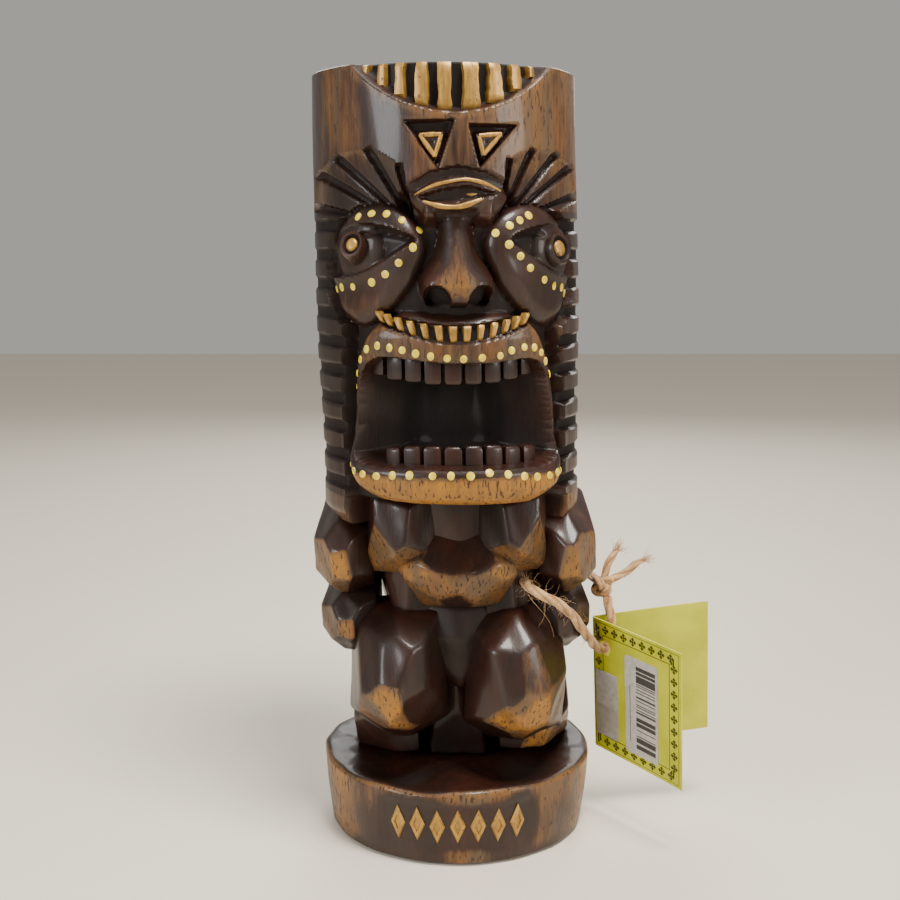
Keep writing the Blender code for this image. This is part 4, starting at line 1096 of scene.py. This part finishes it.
bodyLumps = {
    "upperArmLeft": {"centre": (-28.6, -4.5, 78.2), "half": (8.6, 18.5, 13.4), "cuts": upperArmCuts},
    "foreArmLeft": {"centre": (-27.9, -3.0, 59.4), "half": (8.0, 16.5, 10.8), "cuts": foreArmCuts},
    "upperArmRight": {"centre": (29.9, -4.5, 79.0), "half": (8.4, 18.5, 14.0),
                      "cuts": mirroredCuts(upperArmCuts, {
                          0: (10, -14, 0.91, 0.78), 1: (2, 42, 0.92, 0.22),
                          2: (58, -2, 0.91, 0.60), 4: (66, 42, 0.90, 0.30)})},
    "foreArmRight": {"centre": (28.8, -3.0, 60.0), "half": (7.8, 16.0, 10.4),
                     "cuts": mirroredCuts(foreArmCuts, {
                         0: (12, -8, 0.90, 0.14), 1: (12, 34, 0.90, 0.10),
                         2: (58, 0, 0.92, 0.22), 3: (98, 0, 0.93, 0.2)})},
    "trunk": {"centre": (1.4, -3, 82), "half": (21.5, 18.4, 20), "cuts": [
        (-6, -3, 0.93, 0.17), (12, 4, 0.93, 0.14), (-34, -16, 0.95, 0.09), (34, -16, 0.95, 0.09),
        (-80, -24, 0.84, 0.14), (80, -24, 0.86, 0.14), (0, -46, 0.88, 0.05), (0, -80, 0.80, 0.04),
        (0, 86, 0.84, 0.05), (180, 0, 0.90, 0.2), (-135, 0, 1.0, 0.1), (135, 0, 1.0, 0.1)]},
    "flankLeft": {"centre": (-12.6, -1, 71), "half": (7.2, 17, 15), "cuts": [
        (-40, 0, 0.90, 0.18), (-80, -12, 0.92, 0.10), (10, 0, 0.95, 0.05), (90, 0, 0.95, 0.05),
        (0, -70, 0.9, 0.04), (0, 70, 0.9, 0.06), *rearCuts]},
    "flankRight": {"centre": (15.6, -1, 71), "half": (7.6, 17, 15), "cuts": [
        (40, 0, 0.90, 0.20), (80, -12, 0.92, 0.10), (-10, 0, 0.95, 0.05), (-90, 0, 0.95, 0.05),
        (0, -70, 0.9, 0.04), (0, 70, 0.9, 0.06), *rearCuts]},
    "chestLeft": {"centre": (-13.4, -12.5, 86.0), "half": (10.0, 15.5, 14.5), "cuts": [
        (-14, 12, 0.86, 0.10), (-50, -20, 0.88, 0.62), (44, 2, 0.86, 0.09), (-78, 4, 0.90, 0.30),
        (26, -42, 0.84, 0.60), (-24, -52, 0.86, 0.62), (0, 54, 0.88, 0.08), (0, 85, 0.9, 0.1),
        (90, 0, 0.9, 0.08), (180, 0, 0.9, 0.1), (-120, 0, 0.95, 0.1), (120, 0, 0.95, 0.1),
        (0, -86, 0.9, 0.2)]},
    "chestRight": {"centre": (16.0, -12.5, 86.6), "half": (10.0, 15.5, 14.5), "cuts": [
        (12, 14, 0.86, 0.11), (50, -16, 0.88, 0.66), (-46, 4, 0.86, 0.08), (78, 4, 0.90, 0.40),
        (-26, -42, 0.84, 0.58), (24, -52, 0.86, 0.64), (0, 54, 0.88, 0.08), (0, 85, 0.9, 0.1),
        (-90, 0, 0.9, 0.08), (180, 0, 0.9, 0.1), (-120, 0, 0.95, 0.1), (120, 0, 0.95, 0.1),
        (0, -86, 0.9, 0.2)]},
    "belly": {"centre": (1.3, -10.5, 75.0), "half": (22.5, 19.0, 15.0), "cuts": [
        (-2, -5, 0.88, 0.50), (-30, 2, 0.88, 0.72), (32, 4, 0.88, 0.78), (-58, 6, 0.86, 0.62),
        (58, 8, 0.86, 0.66), (2, 40, 0.74, 0.30), (-46, 44, 0.80, 0.44), (46, 44, 0.80, 0.48),
        (-6, -48, 0.84, 0.36), (-40, -42, 0.80, 0.54), (40, -40, 0.80, 0.56), (-22, -22, 0.84, 0.62),
        (22, -22, 0.84, 0.60), (-78, -32, 0.72, 0.34), (78, -30, 0.74, 0.38), (0, -82, 0.74, 0.05),
        (0, 84, 0.8, 0.1), (180, 0, 0.9, 0.1), (-120, 0, 0.92, 0.1), (120, 0, 0.92, 0.1)]},
    "hips": {"centre": (0.4, -5, 55), "half": (19.0, 17.0, 16), "cuts": [
        (-12, 20, 0.86, 0.07), (16, 24, 0.86, 0.06), (-38, 16, 0.88, 0.10), (38, 16, 0.88, 0.08),
        (-14, -12, 0.84, 0.06), (14, -8, 0.85, 0.05), (-80, 8, 0.95, 0.12), (80, 8, 0.95, 0.12),
        (34, -20, 0.84, 0.10), (-30, -24, 0.84, 0.1), (0, 80, 0.95, 0.1), (0, -80, 0.95, 0.05),
        (180, 0, 0.9, 0.1), (-135, 0, 0.95, 0.1), (135, 0, 0.95, 0.1)]},
    "crotch": {"centre": (0.2, -1, 36), "half": (9.0, 17.0, 17), "cuts": [
        (-26, 4, 0.90, 0.06), (30, 6, 0.90, 0.05), (0, -24, 0.90, 0.03), (-80, 0, 0.95, 0.04),
        (80, 0, 0.95, 0.04), (0, 84, 0.95, 0.1), (0, -84, 0.95, 0.05), (180, 0, 0.95, 0.05),
        (0, 50, 0.95, 0.06)]},
    "thighLeft": {"centre": (-14.8, -12.5, 45.6), "half": (13.2, 20.5, 20.4), "cuts": [
        (-18, -12, 0.93, 0.92), (-12, 26, 0.90, 0.12), (-50, 20, 0.90, 0.22), (-80, 2, 0.92, 0.16),
        (34, 6, 0.90, 0.06), (42, -18, 0.85, 0.12), (28, -42, 0.89, 0.74), (66, 6, 0.90, 0.10),
        (94, 2, 0.92, 0.04), (6, -34, 0.90, 0.78), (-46, -30, 0.90, 0.50), (-4, -60, 0.84, 0.10),
        (-60, -50, 0.86, 0.10), (50, -52, 0.86, 0.08), (0, -84, 0.90, 0.03), (16, 54, 0.91, 0.13),
        (-40, 54, 0.90, 0.18), (0, 84, 0.9, 0.1), *rearCuts]},
    "thighRight": {"centre": (16.0, -12.5, 45.4), "half": (14.2, 20.5, 21.0), "cuts": [
        (-10, 10, 0.89, 0.13), (26, 14, 0.90, 0.46), (12, -16, 0.93, 0.66), (-40, 2, 0.90, 0.10),
        (-66, 8, 0.90, 0.08), (-14, -30, 0.91, 0.88), (34, -26, 0.90, 0.90), (62, 20, 0.90, 0.20),
        (68, -14, 0.91, 0.52), (96, 2, 0.93, 0.20), (-94, 2, 0.92, 0.04), (6, -48, 0.89, 0.56),
        (-40, -52, 0.88, 0.10), (46, -54, 0.88, 0.2), (4, -66, 0.88, 0.12), (0, -84, 0.90, 0.03),
        (0, 46, 0.90, 0.15), (48, 52, 0.90, 0.15), (-46, 50, 0.90, 0.10), (0, 84, 0.9, 0.1),
        *rearCuts]},
    "calfLeft": {"centre": (-19.4, 3.0, 31.5), "half": (10.0, 19.0, 12.5), "cuts": [
        (-30, 18, 0.90, 0.12), (-64, 24, 0.90, 0.16), (-90, -4, 0.92, 0.30), (-44, -24, 0.90, 0.20),
        (20, 0, 0.95, 0.06), (90, 0, 0.9, 0.03), (0, 80, 0.9, 0.1), (0, -80, 0.92, 0.03), *rearCuts]},
    "calfRight": {"centre": (21.2, 1.0, 34.0), "half": (10.6, 19.0, 13.5), "cuts": [
        (50, 12, 0.84, 0.03), (24, -18, 0.93, 0.84), (66, -26, 0.92, 0.74), (90, 4, 0.95, 0.40),
        (70, 46, 0.92, 0.30), (20, 44, 0.92, 0.3), (-20, 0, 0.95, 0.06), (-90, 0, 0.9, 0.03),
        (0, 80, 0.9, 0.1), (0, -80, 0.92, 0.03), *rearCuts]},
    "back": {"centre": (2.4, 15, 57), "half": (21.5, 21.5, 50), "cuts": [
        (180, 0, 0.95, 0.46), (150, 0, 0.93, 0.40), (-150, 0, 0.93, 0.42), (120, 0, 0.92, 0.34),
        (-120, 0, 0.92, 0.36), (90, 0, 0.92, 0.12), (-90, 0, 0.92, 0.12), (0, 0, 0.8, 0.05),
        (60, 0, 0.9, 0.05), (-60, 0, 0.9, 0.05), (0, 88, 0.72, 0.05), (0, -88, 0.72, 0.05)]},
}


def makeBody():
    for name, lump in bodyLumps.items():
        points, faces, wear = chipped(lump["centre"], lump["half"], lump["cuts"])
        storeMesh(name, points, faces, wood, "figure", {"wear": wear}, 30)


makeBody()
print("body chipped out")


baseSizes = {"high": 21.0, "foot": 35.1, "rim": 37.25, "bulge": 0.25, "bandHalfAngle": 33.5,
             "bandLow": 4.9, "bandHigh": 17.3, "bandDeep": 0.5,
             "marks": 7, "markWide": 4.2, "markTall": 9.6, "markPitch": 5.4, "markLevel": 11.1,
             "markRadius": 36.4}


def baseSide(angle, z):
    share = np.clip(z / baseSizes["high"], 0, 1)
    radius = (baseSizes["foot"] + (baseSizes["rim"] - baseSizes["foot"]) * share
              + baseSizes["bulge"] * np.sin(math.pi * share))
    radius = (radius + 0.10 * np.sin(np.radians(angle) * 7 + 1.0)
              + 0.07 * np.sin(np.radians(angle) * 17 + z * 0.2))
    away = np.abs(angle)
    band = ((1 - rise(away, baseSizes["bandHalfAngle"] - 4.0, baseSizes["bandHalfAngle"] + 3.0))
            * rise(z, baseSizes["bandLow"] - 2.0, baseSizes["bandLow"] + 1.6)
            * (1 - rise(z, baseSizes["bandHigh"] - 1.6, baseSizes["bandHigh"] + 1.2)))
    halo = ((1 - rise(away, baseSizes["bandHalfAngle"] - 6, baseSizes["bandHalfAngle"] + 5))
            * np.exp(-((z - 11.1) / 8.0) ** 4))
    return radius - band * baseSizes["bandDeep"], band, halo


def makeBase():
    angle = np.linspace(-180, 180, 360, endpoint=False)
    radians = np.radians(angle)
    rimRise = 0.30 * np.sin(3 * radians + 0.4) + 0.20 * np.sin(7 * radians) + 0.12 * np.sin(13 * radians + 2)
    rows, wears = [], []
    for share in (0.25, 0.8, 0.985):
        rows.append((share * (baseSizes["foot"] - 0.7) + 0 * angle, 0 * angle))
        wears.append(0.2 + 0 * angle)
    for z in np.concatenate([[0.7], np.linspace(1.4, 19.2, 34)]):
        radius, band, halo = baseSide(angle, z + 0 * angle)
        rows.append((radius, z + 0 * angle))
        streak = 0.16 * np.sin(radians * 5 + 1.2) + 0.10 * np.sin(radians * 11 + 0.3)
        wear = 0.52 + streak + 0.14 * rise(z, 9, 18)
        wears.append(wear * (1 - halo * 0.62) * (1 - band * 0.45) - 0.16 * (1 - rise(z, 0.5, 4.5)))
    side, _, _ = baseSide(angle, 19.6 + 0 * angle)
    for inset, drop, wear in ((0.1, 1.0, 0.66), (0.45, 0.45, 0.60), (1.1, 0.15, 0.34), (2.0, 0.0, 0.2)):
        rows.append((side - inset + 0.12 * np.sin(19 * radians), baseSizes["high"] - 0.3 - drop + rimRise))
        wears.append(wear + 0.08 * np.sin(9 * radians))
    for share in np.linspace(0.94, 0.05, 26):
        radius = (baseSizes["rim"] - 2.2) * share + 0 * angle
        x, y = radius * np.sin(radians), radius * np.cos(radians)  # y forward
        knees = np.exp(-((np.abs(x) - 14) / 9.0) ** 2 - ((y - 20) / 9.0) ** 2)
        hump = np.exp(-(x / 7.0) ** 2 - ((y - 24) / 9.0) ** 2)
        level = (baseSizes["high"] - 0.5 + rimRise * share ** 3 - 1.9 * knees - 0.5 * (1 - share)
                 + 0.9 * hump - 0.7 * rise(share + 0 * angle, 0.98, 0.7))
        level = level + 0.10 * np.sin(x * 0.9 + 1) * np.sin(y * 0.8)
        rows.append((radius, level))
        # the darker patches round the knees on the base's top are painted shade under the overhanging knees
        wears.append(0.14 + 0.14 * hump - 0.10 * knees + 0.05 * np.sin(5 * radians))
    radius = np.stack([row[0] for row in rows])
    z = np.stack([row[1] for row in rows])
    rings = np.stack([radius * np.sin(radians), -radius * np.cos(radians), z], -1) * mm
    points, faces = closedTube(rings)
    wear = np.stack(wears)
    storeMesh("baseLog", points, faces, wood, "figure",
              {"wear": np.concatenate([wear.ravel(), [0.2, 0.05]])}, 45)

    made = []
    for place in range(baseSizes["marks"]):
        middle = (place - (baseSizes["marks"] - 1) / 2) * baseSizes["markPitch"]
        turn = np.linspace(0, 2 * math.pi, 24, endpoint=False)
        pinch = np.abs(np.cos(turn)) + np.abs(np.sin(turn))
        shape = np.stack([np.sin(turn) / pinch * baseSizes["markWide"] / 2,
                          np.cos(turn) / pinch * baseSizes["markTall"] / 2], -1)
        stack = []
        for size, lift in ((1.0, -0.9), (1.0, 0.15), (0.86, 0.55), (0.46, 0.62), (0.40, 0.25)):
            across = middle + shape[:, 0] * size
            up = baseSizes["markLevel"] + shape[:, 1] * size + 0.2 * math.sin(place * 2.3)
            around = across / baseSizes["markRadius"]
            reach = (baseSizes["foot"] + (baseSizes["rim"] - baseSizes["foot"]) * up / baseSizes["high"]
                     + baseSizes["bulge"] - baseSizes["bandDeep"] + lift)
            stack.append(np.stack([reach * np.sin(around), -reach * np.cos(around), up], -1) * mm)
        made.append(closedTube(np.stack(stack)[:, ::-1]))
    points, faces = joined(made)
    storeMesh("baseMarks", points, faces, gold, "figure", None, 30)


makeBase()
print("base turned")


tagLook = {
    "border": 3.4 * mm, "markPitch": 3.55 * mm, "bow": 0.5 * mm,
    "longLabel": (12.5 * mm, 28.5 * mm), "longFromEdge": 8.5 * mm, "longFromBottom": 3.5 * mm,
    "shortLabel": (8.5 * mm, 19.5 * mm), "shortFromFold": 1.5 * mm, "shortFromBottom": 4.5 * mm,
    "labelThickness": 0.12 * mm,
    # millimetres on the long label: the step between bars, the share left white, and where bars and rule lie
    "barPitch": 0.30, "barWhite": 0.42, "barAcross": (4.2, 11.6), "barAlong": (2.0, 26.4),
    "ruleAcross": (1.7, 2.0), "ruleAlong": (3.4, 20.0),
    "card": ("#aeb01e", "#c3c32c"), "fibre": "#dcd76a", "ink": "#1f200a",
    "paper": ("#a9a59d", "#bdb9b1"), "barInk": "#1c1a18", "ruleInk": "#35322e", "paperShade": "#7c7266",
}


def onTag(x, out, z, turn=0.0):
    # tag's own frame to the world: x from the fold, out of the outer face, z down from the top
    local = np.stack([x, -out, z], -1)
    matrix = np.array(tagFrame) @ np.array(Matrix.Rotation(math.radians(turn), 4, "Z"))
    return local @ matrix[:3, :3].T + matrix[:3, 3]


def bowed(x):
    # how far the card bends away from its flat, as a parabola across its width
    share = x / tagPlace["width"]
    return tagLook["bow"] * (share - share ** 2) * 1.6


def sheetShell(outlineRows, thickness, turn, uvOf):
    # two skins of a card as one stack of rings: the front's run from its hole (or middle) out to its
    # edge, and the rear's run back in
    x, z = outlineRows
    half = thickness / 2
    front = onTag(x, half - bowed(x), z, turn)
    rear = onTag(x, -half - bowed(x), z, turn)
    ring = np.concatenate([front, rear[::-1]])
    uv = np.concatenate([uvOf(x, z), uvOf(x[::-1], z[::-1])])
    return ring, uv


def leafRows(hole, rings=9, columns=112):
    # rings that morph from the hole's circle to the leaf's rectangle
    width, height, gap = tagPlace["width"], tagPlace["height"], tagPlace["gap"]
    x0, z0, r0 = (tagPlace["holeFromFold"], -tagPlace["holeFromTop"],
                  tagPlace["holeRadius"] if hole else 0.02 * mm)
    turn = np.linspace(0, 2 * math.pi, columns, endpoint=False)
    corners = [math.atan2(b - z0, a - x0) % (2 * math.pi)
               for a, b in ((gap, 0), (width, 0), (width, -height), (gap, -height))]
    for corner in corners:
        turn[np.argmin(np.abs(turn - corner))] = corner
    c, s = np.cos(turn), np.sin(turn)
    with np.errstate(divide="ignore"):
        toEdge = np.minimum.reduce([np.where(c > 0, (width - x0) / c, np.where(c < 0, (gap - x0) / c, 1e9)),
                                    np.where(s > 0, -z0 / s, np.where(s < 0, (-height - z0) / s, 1e9))])
    share = np.linspace(0, 1, rings)[:, None] ** 1.2
    reach = r0 + (toEdge - r0) * share
    return x0 + reach * c, z0 + reach * s


def printedCard(name, printed):
    # yellow-green card; on both faces of a printed leaf, border lines and four-petal marks are
    # worked out from the flat card's own millimetres
    made, shader, start, where = startMaterial(name, specular=0.35)
    flat = start.node("UVMap", {"uv_map": "flat"}, {})
    parts = start.node("SeparateXYZ", {}, {"Vector": flat})
    x = parts
    y = Wire(parts.tree, parts.socket.node.outputs[1])
    fibre = noise(where, (900, 900, 900), 4.0, 0.6)
    mottle = noise(where, (90, 90, 90), 2.0, 0.5)
    colour = mottle.rise(0.3, 0.7).blendTo(*map(paint, tagLook["card"]))
    colour = (fibre.rise(0.5, 0.8) * 0.18).blendTo(colour, paint(tagLook["fibre"]))
    if printed:
        width, height = tagPlace["width"] * 1000, tagPlace["height"] * 1000
        border, pitch = tagLook["border"] * 1000, tagLook["markPitch"] * 1000
        left, right, low, high = x - 0.9, width - 0.9 - x, y + (height - 0.9), -0.9 - y
        inset = left.math("MINIMUM", left.math("MINIMUM", left, right), left.math("MINIMUM", low, high))
        line = 1 - (inset.math("ABSOLUTE", inset - border)).rise(0.05, 0.20)
        line = line.math("MAXIMUM", line, 1 - (inset.math("ABSOLUTE", inset)).rise(0.02, 0.16))
        across = x.math("SUBTRACT", x.math("FRACT", x / pitch), 0.5) * pitch
        up = y.math("SUBTRACT", y.math("FRACT", y / pitch), 0.5) * pitch
        sideways = low.math("LESS_THAN", low.math("MINIMUM", low, high), border)
        middle = inset - border / 2
        along = up + (across - up) * sideways
        a, b = along.math("ABSOLUTE", along), middle.math("ABSOLUTE", middle)
        petals = (a + b).rise(1.5, 1.3) * (a.math("ABSOLUTE", a - b)).rise(0.06, 0.22)
        heart = (a + b).rise(0.55, 0.4)
        marks = (petals.math("MAXIMUM", petals, heart) * inset.math("LESS_THAN", inset, border - 0.25)
                 * inset.math("GREATER_THAN", inset, 0.25))
        ink = line.math("MAXIMUM", line, marks)
        colour = (ink * 0.94).blendTo(colour, paint(tagLook["ink"]))
    plug(shader, colour, "Base Color")
    plug(shader, 0.42 + 0.2 * fibre, "Roughness")
    bumped(shader, fibre, 0.12, 0.0001)
    return made


def withinBox(mask, x, across, y, along):
    # the mask, or 1 without one, where x and y lie between the limits
    for wire, (low, high) in ((x, across), (y, along)):
        above = wire.math("GREATER_THAN", wire, low)
        mask = above if mask is None else mask * above
        mask = mask * wire.math("LESS_THAN", wire, high)
    return mask


def paperLabel(name, bars):
    made, shader, start, where = startMaterial(name, specular=0.3)
    flat = start.node("UVMap", {"uv_map": "flat"}, {})
    parts = start.node("SeparateXYZ", {}, {"Vector": flat})
    x = parts
    y = Wire(parts.tree, parts.socket.node.outputs[1])
    fibre = noise(where, (700, 700, 700), 4.0, 0.6)
    colour = fibre.rise(0.3, 0.7).blendTo(*map(paint, tagLook["paper"]))
    if bars:
        step = y.math("FLOOR", y / tagLook["barPitch"])
        random = y.node("TexWhiteNoise", {"noise_dimensions": "1D"}, {"W": step}, "Value")
        ink = random.math("GREATER_THAN", random, tagLook["barWhite"])
        ink = withinBox(ink, x, tagLook["barAcross"], y, tagLook["barAlong"])
        colour = (ink * 0.9).blendTo(colour, paint(tagLook["barInk"]))
        rule = withinBox(None, x, tagLook["ruleAcross"], y, tagLook["ruleAlong"])
        colour = (rule * 0.8).blendTo(colour, paint(tagLook["ruleInk"]))
    else:
        colour = (y.math("LESS_THAN", y, 9.4) * 0.35).blendTo(colour, paint(tagLook["paperShade"]))
    plug(shader, colour, "Base Color")
    plug(shader, 0.48 + 0.15 * fibre, "Roughness")
    bumped(shader, fibre, 0.1, 0.0001)
    return made


def storeFlat(name, rings, uv, material, body):
    # a shell with its flat millimetres kept as the UV map "flat"; first and last rings meet, so the
    # shell is closed
    rows, columns = rings.shape[:2]
    faces = np.concatenate([gridFaces(rows, columns), gridFaces(2, columns)])
    ends = faces[-columns:]
    ends[:, :2] += (rows - 1) * columns
    ends[:, 2:] -= columns
    piece = storeMesh(name, rings.reshape(-1, 3), faces[:, ::-1].tolist(), material, body)
    mesh = piece.data
    corner = np.empty(len(mesh.loops), np.int32)
    mesh.loops.foreach_get("vertex_index", corner)
    places = uv.reshape(-1, 2)[corner].astype(np.float32)
    mesh.uv_layers.new(name="flat").data.foreach_set("uv", places.ravel())
    mesh.polygons.foreach_set("use_smooth", np.zeros(len(mesh.polygons), bool))
    return piece


def millimetres(x, z):
    return np.stack([x * 1000, z * 1000], -1)


def makeTag():
    leaves = (("tagFront", "tag_front_leaf", "tag_front", 0.0, True),
              ("tagBack", "tag_back_leaf", "tag_back", tagPlace["opening"], False))
    for name, node, body, turn, printed in leaves:
        rings, uv = sheetShell(leafRows(printed), tagPlace["thickness"], turn, millimetres)
        leaf = storeFlat(name, rings, uv, printedCard(name + " card", printed), body)
        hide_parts(node)

    height = tagPlace["height"]
    labels = {
        "codeLabel": ("code_label", tagLook["longLabel"],
                      tagPlace["width"] - tagLook["longFromEdge"] - tagLook["longLabel"][0],
                      tagLook["longFromBottom"], True),
        "dateLabel": ("date_label", tagLook["shortLabel"], tagLook["shortFromFold"],
                      tagLook["shortFromBottom"], False),
    }
    for name, (node, (wide, tall), left, bottom, bars) in labels.items():
        turn = np.linspace(0, 2 * math.pi, 96, endpoint=False) + math.pi / 96
        c, s = np.cos(turn), np.sin(turn)
        reach = (np.abs(c) ** 44 + np.abs(s) ** 44) ** (-1 / 44)
        share = np.array([0.01, 0.35, 0.7, 1.0])[:, None]
        x = left + wide / 2 * (1 + share * reach * c)
        z = -height + bottom + tall / 2 * (1 + share * reach * s)
        face = tagPlace["thickness"] / 2 + 0.03 * mm - bowed(x)
        front = onTag(x, face + tagLook["labelThickness"] + 0.1 * mm * share ** 6 * (s > 0.3), z)
        rear = onTag(x, face - 0.02 * mm, z)
        uv = np.stack([(x - left) * 1000, (z + height - bottom) * 1000], -1)
        sticker = storeFlat(name, np.concatenate([front, rear[::-1]]), np.concatenate([uv, uv[::-1]]),
                            paperLabel(name + " paper", bars), "tag_front")
        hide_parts(node)

    # the fold itself: a thin rounded strip of card between the leaves
    z = np.linspace(0, -height, 12)[:, None]
    bend = np.radians(np.linspace(-8, 180 - tagPlace["opening"] + 60, 9))
    outer = tagPlace["gap"] * 1.02
    around = np.concatenate([bend, bend[::-1]])
    reach = np.concatenate([np.full(9, outer), np.full(9, outer - tagPlace["thickness"] * 0.8)])
    centreX, centreOut = tagPlace["gap"] * 0.98, -tagPlace["gap"] * 0.80
    x = centreX - reach * np.sin(around)
    out = centreOut + reach * np.cos(around)
    spine = onTag(x[None] + 0 * z, out[None] + 0 * z, z + 0 * x[None])
    points, faces = closedTube(spine)
    storeMesh("tagFold", points, [face[::-1] for face in faces], printedCard("fold card", False),
              "tag_front", None, 40)


makeTag()
print("tag folded")
